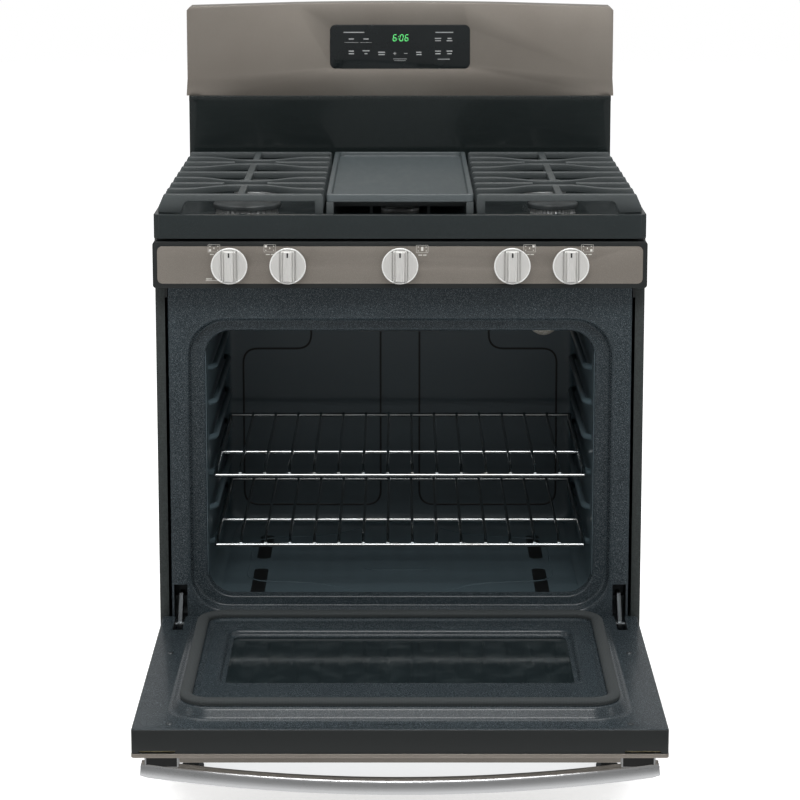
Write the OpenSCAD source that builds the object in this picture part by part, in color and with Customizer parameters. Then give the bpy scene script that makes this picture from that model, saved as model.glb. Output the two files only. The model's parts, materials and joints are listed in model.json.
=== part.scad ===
/* [Cabinet] */
// Width over the two side panels
body_w = 759; // [700:1:800]
// Depth from the oven front frame back to the wall plane
body_depth = 641; // [600:1:700]
// Height of the cooktop rim above the floor
cooktop_z = 914; // [900:1:940]
// Height of the top of the console above the floor
total_h = 1200; // [1180:1:1260]
// Height of the underside of the cabinet above the floor
base_z = 30; // [22:1:34]
// Thickness of the pressed sheet
sheet = 1.5; // [1:0.1:1.8]

/* [Oven] */
// Inside width of the oven cavity
cavity_w = 608; // [560:1:620]
// Inside depth of the oven cavity behind the gasket ledge
cavity_depth = 500; // [460:1:520]
// Height of the oven floor sheet above the floor of the room
cavity_z = 290; // [290:1:296]
// Inside height of the oven cavity
cavity_h = 445; // [430:1:450]
// Depth of the ledge that the door gasket meets
ledge_depth = 20; // [18:1:24]
// Number of rack guide levels on each wall
guide_levels = 6; // [4:1:6]
// Vertical pitch of the rack guides
guide_pitch = 57; // [50:1:60]
// Height of the lowest rack guide above the cavity floor
guide_first = 84; // [70:1:90]
// Depth of an oven rack from front rail to rear rail
rack_depth = 395; // [340:1:420]
// Number of long wires in an oven rack
rack_wires = 14; // [10:1:18]

/* [Door] */
// Width of the oven door
door_w = 751; // [700:1:755]
// Height of the hinge pins above the floor
pivot_z = 260; // [258:1:264]
// Distance of the hinge pins ahead of the front frame
pivot_out = 16; // [16:0.5:20]
// Height of the door above its hinge pins when shut
door_rise = 520; // [505:1:534]
// Thickness of the door from inner flange to outer skin
door_t = 42; // [38:1:46]
// Angle of the door from shut, as it stands
door_open = 91.1; // [90:0.1:92]
// Length of the door handle
handle_l = 730; // [560:1:738]
// How far the middle of the handle bows out past its ends
handle_bow = 34; // [20:1:40]

/* [Cooktop] */
// Height of the front lip of the cooktop
lip_h = 37; // [32:1:40]
// How far the cooktop lip stands ahead of the front frame
lip_out = 35; // [30:1:40]
// Depth of the recessed pan below the rim
pan_drop = 24; // [18:1:26]
// Height of the grate tops above the rim
grate_rise = 29; // [26:1:36]
// Width of a side grate
side_grate_w = 254; // [244:1:254]
// Width of the centre grate and griddle
centre_grate_w = 226; // [200:1:226]
// Depth of the grates from front to back
grate_depth = 578; // [540:1:579]
// Thickness of a cast grate bar
bar_t = 11; // [8:0.5:13]
// Diameter of the front left burner cap
cap_large = 108; // [90:1:116]
// Diameter of the front right burner cap
cap_medium = 80; // [70:1:90]
// Diameter of the rear burner caps
cap_small = 62; // [50:1:76]

/* [Controls] */
// Height of the knob panel
panel_h = 72; // [66:1:74]
// How far the knob panel stands ahead of the front frame
panel_out = 40; // [34:1:46]
// Diameter of a control knob
knob_d = 56; // [48:1:58]
// Depth of a control knob
knob_depth = 26; // [20:1:30]
// Travel of a knob when it is pushed in
push_travel = 3; // [2:0.5:3.5]
// Distance of the outer knobs from the centre
knob_outer_x = 261; // [240:1:270]
// Distance of the inner knobs from the centre
knob_inner_x = 171.5; // [150:0.5:180]

/* [Console] */
// Width of the console at its top
console_w = 740; // [700:1:756]
// Height of the console panel
console_h = 161; // [150:1:170]
// Depth of the console and backguard
console_depth = 60; // [50:1:66]
// Width of the touch panel glass
glass_w = 243; // [200:1:300]
// Height of the touch panel glass
glass_h = 76; // [60:1:84]

/* [Drawer] */
// Height of the storage drawer front
drawer_h = 171; // [150:1:171]
// Height of the lower edge of the drawer front above the floor
drawer_z = 41; // [40:1:44]

/* [Hidden] */
$fn = 48;

// Clearances
gap = 0.3;
fit = 0.1;

// Cabinet
half_w = body_w / 2;
side_in = half_w - sheet;
frame_half = half_w - 18.5;
return_w = 14.5;
drawer_top = drawer_z + drawer_h;
frame_bottom = drawer_top + 11;
frame_top = 800;
rear_y = body_depth - 22;
side_top = cooktop_z - lip_h - 4;
leg_x = half_w - 45;
leg_front_y = 45;
leg_rear_y = rear_y - 50;
leg_d = 10;

// Oven mouth, as seen from the front
mouth_half = cavity_w / 2 + 0.5;
mouth_low = cavity_z + 7;
mouth_high = cavity_z + cavity_h - 11.5;
mouth_r = 41;
ledge_w = 23.5;
recess_half = mouth_half + ledge_w;
recess_low = mouth_low - 18;
recess_high = mouth_high + 19.5;
recess_r = 56;
slot_x = door_w / 2 - 29;
slot_w = 21;
slot_low = pivot_z + 2;
slot_high = pivot_z + 60;

// Oven cavity
cavity_half = cavity_w / 2;
cavity_front = ledge_depth + sheet;
cavity_back = cavity_front + cavity_depth;
cavity_top = cavity_z + cavity_h;
pit_half = cavity_half - 54;
pit_front = cavity_front + 40;
pit_back = cavity_back - 40;
pit_depth = 34;
wool = 27;
guide_proud = 14;
guide_t = 10;
guide_front = cavity_front + 62;
guide_back = cavity_back - 48;
floor_half = cavity_half - 17;
lamp_x = cavity_half - 54;
lamp_z = cavity_top - 80;
lamp_d = 55;
probe_x = 104 - cavity_half;
probe_z = cavity_top - 50;

// Racks
rail_d = 6.4;
wire_d = 4.6;
rack_half = cavity_half - 8;
rack_front = 60;
rack_back = rack_front + rack_depth;
rack_drop = 8;
rack_stop = 6;
weld = 0.5;

// Door, in its own frame: hinge pin at the origin, shut, skin towards -Y
door_half = door_w / 2;
door_low = -12;
flange_y = 10;
skin_y = flange_y - door_t;
skin_t = 6;
plateau_h = 16;
plateau_y = flange_y + plateau_h;
plateau_clear = 2;
plateau_half = recess_half - plateau_clear;
plateau_low = recess_low + plateau_clear - pivot_z;
plateau_high = recess_high - plateau_clear - pivot_z;
plateau_slope = 12;
gasket_w = 18;
gasket_half = plateau_half - plateau_slope;
gasket_low = plateau_low + plateau_slope;
gasket_high = plateau_high - plateau_slope;
gasket_rise = pivot_out + ledge_depth - plateau_y - gap;
gasket_r = 44;
window_half = mouth_half - 42.5;
window_low = 104;
window_high = 350;
window_r = 18;
window_step = 12;
outer_window_half = window_half + 8;
outer_window_low = 110;
outer_window_high = 400;
glass_t = 4;
edge_wall = 3;
pin_d = 8;
claw_t = 6;
channel_w = 20;
channel_top = 150;
notch_top = 62;
latch_x = -13;
latch_w = 32;

// Handle
handle_z = door_rise - 35;
handle_t = 24;
handle_tall = 20;
handle_out = 54;
handle_r = (pow(handle_l / 2, 2) + pow(handle_bow, 2)) / (2 * handle_bow);
handle_sweep = 2 * asin(handle_l / 2 / handle_r);
post_w = 48;
post_x = handle_l / 2 - 30;

// Cooktop
top_half = half_w - 1.5;
lip_z = cooktop_z - lip_h;
pan_z = cooktop_z - pan_drop;
rim_w = 16;
front_rim = 14;
back_y = body_depth - console_depth;
pan_front = front_rim - lip_out;
pan_back = back_y - rim_w;
grate_z = cooktop_z + grate_rise;
grate_front = pan_front + 6;
grate_back = grate_front + grate_depth;
grate_gap = 5;
grate_flare = 9;
grate_foot = 8;
leg_wide = 40;
leg_narrow = 13;
hook_w = 10;
grate_x = centre_grate_w / 2 + grate_gap + side_grate_w / 2;
burner_x = 243;
burner_front_y = grate_front + 146;
burner_rear_y = grate_back - 155;
griddle_t = 12;
cap_t = 8;
cap_z = pan_z + 14;
guard_half = console_w / 2 - 2.5;

// Knob panel
panel_top = side_top;
panel_low = panel_top - panel_h;
trim_border = 7;
inset_t = 3;
knob_z = panel_low + 37;
knob_gap = push_travel + 0.8;
stem_d = 8;
stem_hole_d = 12;
knob_back = -panel_out - knob_gap;
knob_xs = [-knob_outer_x, -knob_inner_x, 0, knob_inner_x, knob_outer_x];
manifold_y = 14;
manifold_d = 20;
pipe_x = side_in - 14;
pipe_d = 14;
riser_inset = 44;
gas_z = 90;
gas_proud = 16;
gas_pipe_d = 20;
gas_collar_d = 26;
gas_collar_l = 17;
gas_hole_d = 44;
inlet_x = -300;
inlet_z = 120;
inlet_d = 22;

// Console
console_low = total_h - console_h;
console_y = back_y + 1;
console_arch = 7;
glass_z = console_low + 85;

// Drawer
drawer_half = door_half;
drawer_y = -44;
drawer_front_t = 20;
box_half = half_w - 50;
box_low = drawer_z + 10;
box_high = drawer_top - 40;
box_back = rear_y - 90;
runner_w = 13;
runner_z = box_low + 40;
runner_h = 18;

// Places the range so that the middle of its footprint with the door down is at the origin
door_reach = pivot_out + door_rise * sin(door_open) - flange_y * cos(door_open);
place_y = (door_reach - body_depth) / 2;

module placed() { translate([0, place_y, 0]) children(); }

module at_door() {
    placed() translate([0, -pivot_out, pivot_z]) rotate([door_open, 0, 0]) children();
}

// Block between two corners
module block(low, high) { translate(low) cube(high - low); }

// The same shape on both sides of the middle
module both_sides() {
    children();
    mirror([1, 0, 0]) children();
}

// Flat outline in X and Z, given a thickness backwards from y
module upright(y, t) { translate([0, y + t, 0]) rotate([90, 0, 0]) linear_extrude(t) children(); }

// Rounded rectangle between two corners
module rounded(low, high, r) {
    translate(low + [r, 0]) square(high - low - [2 * r, 0]);
    translate(low + [0, r]) square(high - low - [0, 2 * r]);
    for (x = [low[0] + r, high[0] - r], z = [low[1] + r, high[1] - r]) translate([x, z]) circle(r);
}

// Rod along X, Y or Z
module rod_x(p, l, d) { translate(p) rotate([0, 90, 0]) cylinder(h = l, d = d); }
module rod_y(p, l, d) { translate(p) rotate([-90, 0, 0]) cylinder(h = l, d = d); }
module rod_z(p, l, d) { translate(p) cylinder(h = l, d = d); }

// Rod in a plane of constant X from one point to another
module rod_slope(x, p, q, d) {
    step = q - p;
    translate([x, p[0], p[1]]) rotate([-atan2(step[0], step[1]), 0, 0])
        cylinder(h = norm(step), d = d);
}

// ---- Cabinet ----

module side_panel() {
    color("#1e2321") {
        block([side_in, sheet, base_z], [half_w, rear_y, side_top]);
        block([half_w - return_w, 0, base_z], [half_w, sheet, side_top]);
        block([half_w - 34, sheet, side_top - sheet], [side_in, rear_y, side_top]);
        block([half_w - 34, sheet, base_z], [side_in, rear_y, base_z + sheet]);
    }
}

module side_panel_right() { placed() side_panel(); }
module side_panel_left() { placed() mirror([1, 0, 0]) side_panel(); }

module rear_panel() {
    color("#8a8f90") placed() difference() {
        union() {
            block([-half_w, rear_y, base_z], [half_w, rear_y + sheet, side_top]);
            block([-top_half, rear_y, side_top], [top_half, body_depth, side_top + sheet]);
            block([-guard_half + sheet, body_depth - sheet, side_top],
                [guard_half - sheet, body_depth, console_low]);
            rod_y([inlet_x, rear_y, inlet_z], 12, inlet_d + 8);
        }
        rod_y([inlet_x, rear_y - 1, inlet_z], 20, inlet_d);
        rod_y([pipe_x, rear_y - 1, gas_z], 20, gas_hole_d);
        for (row = [0:4], side = [-1, 1])
            block([side * 160 - 70, rear_y - 1, 640 + row * 30],
                [side * 160 + 70, rear_y + sheet + 1, 648 + row * 30]);
    }
}

module base_pan() {
    color("#6d7274") placed() difference() {
        union() {
            block([-half_w + 34, 20, base_z], [half_w - 34, rear_y, base_z + sheet]);
            block([-half_w + 34, 20, base_z], [half_w - 34, 20 + sheet, base_z + 8]);
            both_sides() for (y = [leg_front_y, leg_rear_y])
                block([leg_x - 14, y - 14, base_z], [leg_x + 7.5, y + 14, base_z + 8]);
        }
        both_sides() for (y = [leg_front_y, leg_rear_y]) rod_z([leg_x, y, base_z - 1], 12, leg_d);
    }
}

module levelling_legs() {
    color("#4c5052") placed() both_sides() for (y = [leg_front_y, leg_rear_y]) {
        rod_z([leg_x, y, 0], 8, 36);
        rod_z([leg_x, y, 8], base_z + 4, leg_d);
        translate([leg_x, y, 8]) cylinder(h = 9, d = 20, $fn = 6);
    }
}

// ---- Oven ----

module mouth_outline() { rounded([-mouth_half, mouth_low], [mouth_half, mouth_high], mouth_r); }
module recess_outline(grow) {
    rounded([-recess_half - grow, recess_low - grow], [recess_half + grow, recess_high + grow],
        recess_r + grow);
}

module oven_front_frame() {
    color("#42484c") placed() {
        difference() {
            upright(0, sheet) difference() {
                translate([-frame_half, frame_bottom])
                    square([2 * frame_half, frame_top - frame_bottom]);
                recess_outline(0);
            }
            both_sides() block([slot_x - slot_w / 2, -1, slot_low], [slot_x + slot_w / 2, 3, slot_high]);
        }
        upright(0, ledge_depth) difference() {
            recess_outline(sheet);
            recess_outline(0);
        }
        upright(ledge_depth, sheet) difference() {
            recess_outline(sheet);
            mouth_outline();
        }
        both_sides() block([frame_half - 1, 0, frame_top - 20], [half_w - return_w, sheet, frame_top]);
        block([-frame_half, sheet, frame_bottom], [frame_half, 24, frame_bottom + sheet]);
        both_sides() block([frame_half - sheet, sheet, frame_bottom], [frame_half, 24, frame_top]);
    }
}

function guide_z(level) = cavity_z + guide_first + level * guide_pitch;

// Raised outline on the back wall of the oven
module back_rib_outline() {
    side = cavity_half - 30;
    points = [[34, cavity_z + 32], [side, cavity_z + 32], [side, cavity_z + 312],
        [side - 119, cavity_z + 312], [side - 119, cavity_top - 20], [34, cavity_top - 20]];
    offset(r = 14, $fn = 24) offset(delta = -14) polygon(points);
}

module oven_liner() {
    color("#3a4044") placed() {
        difference() {
            union() {
                block([-cavity_half - sheet, cavity_front, cavity_z - sheet],
                    [cavity_half + sheet, cavity_back + sheet, cavity_top + sheet]);
                block([-pit_half - sheet, pit_front - sheet, cavity_z - pit_depth - sheet],
                    [pit_half + sheet, pit_back + sheet, cavity_z]);
            }
            block([-cavity_half, cavity_front - 1, cavity_z], [cavity_half, cavity_back, cavity_top]);
            block([-pit_half, pit_front, cavity_z - pit_depth], [pit_half, pit_back, cavity_z + 1]);
            rod_y([lamp_x, cavity_back - 1, lamp_z], 5, 30);
            rod_y([probe_x, cavity_back - 1, probe_z], 5, 5);
        }
        both_sides() upright(cavity_back - 3, 3) difference() {
            back_rib_outline();
            offset(delta = -7) back_rib_outline();
        }
        both_sides() for (level = [0:guide_levels - 1]) {
            z = guide_z(level);
            block([cavity_half - guide_proud, guide_front, z - guide_t], [cavity_half, guide_back, z]);
            rod_x([cavity_half - guide_proud, guide_front, z - guide_t / 2], guide_proud, guide_t);
            rod_x([cavity_half - guide_proud, guide_back, z - guide_t / 2], guide_proud, guide_t);
        }
    }
}

module oven_floor_panel() {
    color("#363c40") placed() difference() {
        union() {
            block([-floor_half, cavity_front + 10, cavity_z],
                [floor_half, cavity_back - 6, cavity_z + sheet]);
            translate([0, (cavity_front + cavity_back) / 2 - 20, cavity_z + sheet]) linear_extrude(1)
                rounded([-60, -60], [60, 60], 20);
        }
        for (side = [-1, 1], start = [46, 263])
            translate([side * 228.5, cavity_front + start - 20, cavity_z - 1]) linear_extrude(4)
                rounded([-11.5, 0], [11.5, 158], 11);
    }
}

module oven_insulation() {
    color("#d9d2b8") placed() difference() {
        block([-cavity_half - wool, cavity_front + 8, cavity_z - pit_depth - sheet - 14],
            [cavity_half + wool, cavity_back + wool, cavity_top + wool]);
        block([-cavity_half - sheet, 0, cavity_z - sheet],
            [cavity_half + sheet, cavity_back + sheet, cavity_top + sheet]);
        block([-pit_half - sheet, pit_front - sheet, cavity_z - pit_depth - sheet],
            [pit_half + sheet, pit_back + sheet, cavity_z]);
        rod_y([lamp_x, cavity_back, lamp_z], 60, 40);
        rod_y([probe_x, cavity_back, probe_z], 60, 12);
    }
}

module burner_loop(half, front, back, z, d) {
    both_sides() rod_y([half, front, z], back - front, d);
    rod_x([-half, front, z], 2 * half, d);
    both_sides() translate([half, front, z]) sphere(d = d);
    both_sides() translate([half, back, z]) sphere(d = d);
}

module bake_burner() {
    z = cavity_z - pit_depth / 2;
    color("#7c7f80") placed() {
        burner_loop(70, pit_front + 60, pit_back - 60, z, 18);
        both_sides() block([64, pit_front + 120, cavity_z - pit_depth], [76, pit_front + 140, z]);
        both_sides() block([64, pit_back - 140, cavity_z - pit_depth], [76, pit_back - 120, z]);
    }
}

module broil_burner() {
    z = cavity_top - 20;
    color("#85898a") placed() {
        burner_loop(60, cavity_front + 90, cavity_back - 70, z, 16);
        both_sides() block([55, cavity_front + 130, z], [65, cavity_front + 150, cavity_top]);
        both_sides() block([55, cavity_back - 130, z], [65, cavity_back - 110, cavity_top]);
        block([-150, cavity_front + 70, cavity_top - 3], [-70, cavity_back - 60, cavity_top]);
        block([70, cavity_front + 70, cavity_top - 3], [150, cavity_back - 60, cavity_top]);
    }
}

module oven_lamp() {
    color("#e8e4d6") placed() translate([lamp_x, cavity_back, lamp_z]) rotate([90, 0, 0]) {
        difference() {
            rotate_extrude() difference() {
                union() {
                    square([lamp_d / 2, 8]);
                    translate([0, 8]) square([lamp_d / 2 - 8, 8]);
                    translate([lamp_d / 2 - 8, 8]) circle(8);
                }
                translate([-20, -20]) square([20, 60]);
                translate([0, -1]) square([lamp_d / 2 - 6, 14]);
            }
        }
        translate([0, 0, -30]) cylinder(h = 30, d = 26);
        translate([0, 0, -2]) cylinder(h = 12, d = 20);
    }
}

module oven_temperature_probe() {
    color("#b9bcbc") placed() {
        rod_y([probe_x, cavity_back - 110, probe_z], 130, 4.8);
        block([probe_x - 14, cavity_back - 1.5, probe_z - 5], [probe_x + 14, cavity_back, probe_z + 5]);
    }
}

// ---- Cooktop ----

module cooktop_outline(inset) {
    x = top_half - inset;
    front = -lip_out + inset;
    cut = 9;
    polygon([[-x + cut, front], [x - cut, front], [x, front + cut], [x, back_y - inset],
        [-x, back_y - inset], [-x, front + cut]]);
}

module pan_outline(grow) {
    rounded([-top_half + rim_w - grow, pan_front - grow], [top_half - rim_w + grow, pan_back + grow],
        18 + grow);
}

module at_burners() {
    translate([-burner_x, burner_front_y]) children(0);
    translate([burner_x, burner_front_y]) children(1);
    for (x = [-burner_x, burner_x]) translate([x, burner_rear_y]) children(2);
}

module cooktop() {
    color("#2b3234") placed() difference() {
        union() {
            difference() {
                translate([0, 0, lip_z]) linear_extrude(lip_h) cooktop_outline(0);
                translate([0, 0, pan_z]) linear_extrude(pan_drop + 1) pan_outline(0);
                difference() {
                    translate([0, 0, lip_z - 1]) linear_extrude(lip_h - sheet + 1)
                        cooktop_outline(sheet);
                    translate([0, 0, pan_z - sheet]) linear_extrude(lip_h) pan_outline(sheet);
                }
            }
            both_sides() block([half_w - 32, 30, side_top], [half_w - 29, back_y - 30, pan_z - sheet]);
            for (cap = [cap_large, cap_medium]) translate([cap == cap_large ? -burner_x : burner_x,
                burner_front_y, pan_z]) cylinder(h = 2.5, d = cap + 46);
            for (x = [-burner_x, burner_x]) translate([x, burner_rear_y, pan_z])
                cylinder(h = 2.5, d = cap_small + 46);
        }
        for (x = [-burner_x, burner_x], y = [burner_front_y, burner_rear_y])
            rod_z([x, y, pan_z - 5], 12, 30);
        rod_z([0, (grate_front + grate_back) / 2, pan_z - 5], 12, 30);
    }
}

// A burner base: mixing tube, dish and a crown with flame ports
module burner_base(d, ring_d) {
    z0 = pan_z + 2.5;
    rod_z([0, 0, pan_z - 22], 24, 29);
    difference() {
        rod_z([0, 0, z0], cap_z - z0, d - 10);
        for (k = [0:35]) rotate([0, 0, k * 10])
            block([d / 2 - 11, -1.1, z0 + 3], [d / 2, 1.1, cap_z - 1]);
    }
    rod_z([0, 0, z0], 2.5, ring_d);
}

// A burner cap with an eased edge
module burner_cap(d) {
    translate([0, 0, cap_z]) rotate_extrude() difference() {
        union() {
            square([d / 2 - 3, cap_t]);
            square([d / 2, cap_t - 3]);
            translate([d / 2 - 3, cap_t - 3]) circle(3);
        }
        translate([-20, -1]) square([20, 20]);
    }
}

module centre_oval(grow, h) {
    y_mid = (grate_front + grate_back) / 2;
    linear_extrude(h) rounded([-27 - grow, y_mid - 95 - grow], [27 + grow, y_mid + 95 + grow], 26 + grow);
}

module burner_bases() {
    color("#9aa0a2") placed() {
        at_burners() {
            burner_base(cap_large, cap_large - 8);
            burner_base(cap_medium, cap_medium - 8);
            burner_base(cap_small, cap_small + 12);
        }
        translate([0, 0, pan_z]) centre_oval(4, 4);
        translate([0, 0, pan_z]) centre_oval(-3, cap_z - pan_z);
        rod_z([0, (grate_front + grate_back) / 2, pan_z - 22], 24, 29);
    }
}

module burner_caps() {
    color("#3d4345") placed() {
        at_burners() {
            burner_cap(cap_large);
            burner_cap(cap_medium);
            burner_cap(cap_small);
        }
        translate([0, 0, cap_z]) centre_oval(0, cap_t);
    }
}

module electrode(x, y, z0) {
    rod_z([x, y, z0], 9, 6);
    rod_z([x, y, z0 + 9], 4, 2);
}

module spark_electrodes() {
    color("#e6e2d8") placed() {
        electrode(-burner_x, burner_front_y + cap_large / 2 + 8, pan_z + 2.5);
        electrode(burner_x, burner_front_y + cap_medium / 2 + 8, pan_z + 2.5);
        for (side = [-1, 1])
            electrode(side * burner_x, burner_rear_y + cap_small / 2 + 12, pan_z + 2.5);
        electrode(0, (grate_front + grate_back) / 2 + 106, pan_z);
    }
}

// ---- Grates ----

// Smooth step from 0 to 1
function ease(t) = (1 - cos(180 * t)) / 2;

// Bar across a burner field that bends towards the burner in its middle
module bent_bar(half, y, bend) {
    steps = 16;
    line = [for (k = [0:steps]) let (t = k / steps, s = 1 - abs(2 * t - 1))
        [half * (2 * t - 1), y + bend * ease(min(1, max(0, (s - 0.25) / 0.6)))]];
    edge = bar_t / 2;
    near = [for (p = line) p - [0, edge]];
    far = [for (k = [0:steps]) line[steps - k] + [0, edge]];
    polygon(concat(near, far));
}

module grate_field(y0, pitch) {
    left = -side_grate_w / 2 + grate_flare;
    right = side_grate_w / 2 - 4;
    reach = (right - left) / 2;
    centre = y0 + 2 * pitch;
    translate([(left + right) / 2, 0]) {
        bent_bar(reach, y0 + pitch, pitch * 0.62);
        bent_bar(reach, y0 + 3 * pitch, -pitch * 0.62);
    }
    for (x = [left, 34]) translate([x, centre - bar_t / 2])
        square([x < 0 ? -34 - left : right - 34, bar_t]);
    translate([-bar_t / 2, y0]) square([bar_t, pitch * 1.45]);
    translate([-bar_t / 2, centre + pitch * 0.55]) square([bar_t, pitch * 1.45]);
}

// Outline of the outer end of a grate bar: it flares down to the rail on the rim
module bar_outer_end(w) {
    half = side_grate_w / 2;
    under = grate_z - bar_t;
    top_x = -half + grate_flare;
    foot_z = cooktop_z + gap;
    if (w > grate_foot) polygon([[top_x, grate_z], [-half, foot_z + grate_foot], [-half, foot_z],
        [-half + 14, foot_z],
        [-half + w - 5, foot_z - 1], [-half + w, under - 5], [-half + w + 2, under - 2],
        [-half + w + 6, under], [-half + w + 6, grate_z]]);
    else polygon([[top_x, grate_z], [-half, foot_z + grate_foot], [-half, foot_z],
        [-half + w, foot_z], [top_x + w, under], [top_x + w, grate_z]]);
}

// Outline of the inner end of a grate bar: it hooks straight down
module bar_inner_end(w, low) {
    half = side_grate_w / 2;
    polygon([[half - w, low], [half, low], [half, grate_z - 4], [half - 1.2, grate_z - 1.2],
        [half - 4, grate_z], [half - w, grate_z]]);
}

module side_grate() {
    half = side_grate_w / 2;
    pitch = (grate_depth - bar_t) / 8;
    low = pan_z + gap;
    foot_z = cooktop_z + gap;
    color("#383e3f") {
        translate([0, 0, grate_z - bar_t]) linear_extrude(bar_t) {
            for (k = [0, 4, 8]) translate([-half + grate_flare, grate_front + k * pitch])
                square([side_grate_w - grate_flare - 4, bar_t]);
            grate_field(grate_front + bar_t / 2, pitch);
            grate_field(grate_front + bar_t / 2 + 4 * pitch, pitch);
        }
        for (k = [0:8]) upright(grate_front + k * pitch, bar_t) {
            bar_outer_end(k % 8 == 0 ? leg_wide : grate_foot);
            bar_inner_end(k % 8 == 0 ? leg_narrow : hook_w, k % 4 == 0 ? low : foot_z);
        }
        block([-half, grate_front + 1, foot_z], [-half + grate_foot, grate_back - 1, foot_z + grate_foot]);
        block([half - hook_w, grate_front + 1, foot_z - 6], [half, grate_back - 1, foot_z + 4]);
    }
}

module left_grate() { placed() translate([-grate_x, 0, 0]) side_grate(); }
module right_grate() { placed() translate([grate_x, 0, 0]) mirror([1, 0, 0]) side_grate(); }

module centre_grate() {
    half = centre_grate_w / 2;
    low = pan_z + gap;
    top = grate_z - griddle_t - gap;
    pitch = (grate_depth - bar_t - 70) / 3;
    color("#343a3b") placed() {
        both_sides() block([half - bar_t, grate_front, top - bar_t], [half, grate_back, top]);
        for (k = [0:3]) translate([0, grate_front + 35 + k * pitch, 0])
            block([-half + 2, 0, top - bar_t], [half - 2, bar_t, top]);
        both_sides() for (y = [grate_front, grate_back - bar_t, grate_front + grate_depth / 2])
            block([half - bar_t, y, low], [half, y + bar_t, top - 1]);
        both_sides() block([42, grate_front + 36, low], [42 + 5, grate_front + 34 + bar_t, top - 2]);
    }
}

module griddle() {
    half = centre_grate_w / 2;
    color("#5c6466") placed() difference() {
        translate([0, 0, grate_z - griddle_t]) linear_extrude(griddle_t)
            rounded([-half, grate_front], [half, grate_back], 6);
        translate([0, 0, grate_z - griddle_t + 5]) linear_extrude(griddle_t)
            rounded([-half + 8, grate_front + 8], [half - 8, grate_back - 8], 10);
    }
}

// ---- Backguard and console ----

module backsplash() {
    x = guard_half;
    color("#191f1f") placed() {
        block([-x, back_y, cooktop_z - 30], [x, back_y + sheet, console_low]);
        both_sides() block([x - sheet, back_y, cooktop_z - 30], [x, body_depth - sheet, console_low]);
        both_sides() block([x - 16, back_y - 3, console_low - 9], [x, back_y, console_low]);
        block([-x, back_y, console_low - 10], [x, body_depth - sheet, console_low - 10 + sheet]);
    }
}

// Console outline: a touch wider at its foot, with an arched top edge
module console_outline(inset) {
    half = console_w / 2 - inset;
    low = console_low + inset;
    high = total_h - inset;
    steps = 20;
    top = [for (k = [0:steps]) let (t = 2 * k / steps - 1)
        [half * 0.985 * t, high - console_arch * t * t]];
    polygon(concat([[half + 2, low], [half, low + 30], [half, high - console_arch - 6]],
        [for (k = [0:steps]) top[steps - k]],
        [[-half, high - console_arch - 6], [-half, low + 30], [-half - 2, low]]));
}

module touch_outline(grow) {
    rounded([-glass_w / 2 - grow, glass_z - glass_h / 2 - grow],
        [glass_w / 2 + grow, glass_z + glass_h / 2 + grow], 10 + grow);
}

module console_shell() {
    color("#8a857e") placed() {
        difference() {
            upright(console_y, body_depth - console_y) console_outline(0);
            upright(console_y + sheet, body_depth - console_y - 2 * sheet) console_outline(sheet);
            upright(console_y - 1, 5) touch_outline(fit);
        }
        both_sides() upright(console_y + sheet, 10) translate([150, glass_z - 20]) square([4, 40]);
    }
}

module console_glass() {
    color("#15191a") placed() {
        upright(console_y - 0.8, sheet + 0.8) touch_outline(0);
        upright(console_y + sheet, 1) touch_outline(5);
    }
}

module console_circuit_board() {
    color("#1f5a35") placed() {
        upright(console_y + sheet + 10, 1.6) translate([-160, glass_z - 36]) square([320, 72]);
        block([-60, console_y + sheet + 1, glass_z], [60, console_y + sheet + 10, glass_z + 24]);
        for (k = [-2:2]) block([k * 44 - 6, console_y + sheet + 1, glass_z - 26],
            [k * 44 + 6, console_y + sheet + 10, glass_z - 14]);
        block([90, console_y + sheet + 11.6, glass_z - 20], [120, console_y + sheet + 32, glass_z + 10]);
    }
}

// ---- Knob panel ----

module panel_outline(inset, r) {
    rounded([-half_w + inset, panel_low + inset], [half_w - inset, panel_top - inset], r);
}

module control_panel() {
    color("#756c64") placed() difference() {
        upright(-panel_out, inset_t) panel_outline(trim_border + fit, 8);
        for (x = knob_xs) rod_y([x, -panel_out - 1, knob_z], inset_t + 2, stem_hole_d);
    }
}

module control_panel_trim() {
    color("#23292a") placed() difference() {
        upright(-panel_out + 0.6, panel_out - 0.6) panel_outline(0, 5);
        upright(-panel_out - 1, inset_t + 1) panel_outline(trim_border, 8);
        upright(-panel_out + inset_t + 2, panel_out) panel_outline(2, 3);
        for (x = knob_xs) rod_y([x, -panel_out - 1, knob_z], 20, 26);
    }
}

module gas_manifold() {
    color("#a5a8a6") placed() difference() {
        union() {
            rod_x([-half_w + 60, manifold_y, knob_z], half_w - 60 + pipe_x, manifold_d);
            both_sides() block([half_w - 70, -6, knob_z - 14], [half_w - 60, manifold_y, knob_z + 14]);
            both_sides() block([half_w - 70, -6, knob_z + 14], [half_w - 60, 0, panel_top - 2]);
        }
        rod_x([-half_w + 66, manifold_y, knob_z], 2 * half_w - 90, manifold_d - 4);
    }
}

// Valve bodies between the knob panel and the manifold
module gas_valves() {
    color("#b58f4a") placed() for (x = knob_xs) difference() {
        union() {
            rod_y([x, -26, knob_z], 26, 24);
            rod_y([x, -panel_out + inset_t, knob_z], 11, 18);
            block([x - 9, -1, knob_z - 9], [x + 9, manifold_y - manifold_d / 2 + 1, knob_z + 9]);
            rod_z([x, -8, knob_z + 8], 18, 9);
        }
        rod_y([x, -panel_out, knob_z], 30, stem_d + 2 * fit);
        rod_x([x - 12, manifold_y, knob_z], 24, manifold_d);
    }
}

module valve_stem(n) {
    color("#c9cac6") placed() rod_y([knob_xs[n - 1], knob_back - knob_depth + 9, knob_z],
        knob_depth + knob_gap + panel_out - 22, stem_d);
}

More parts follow.
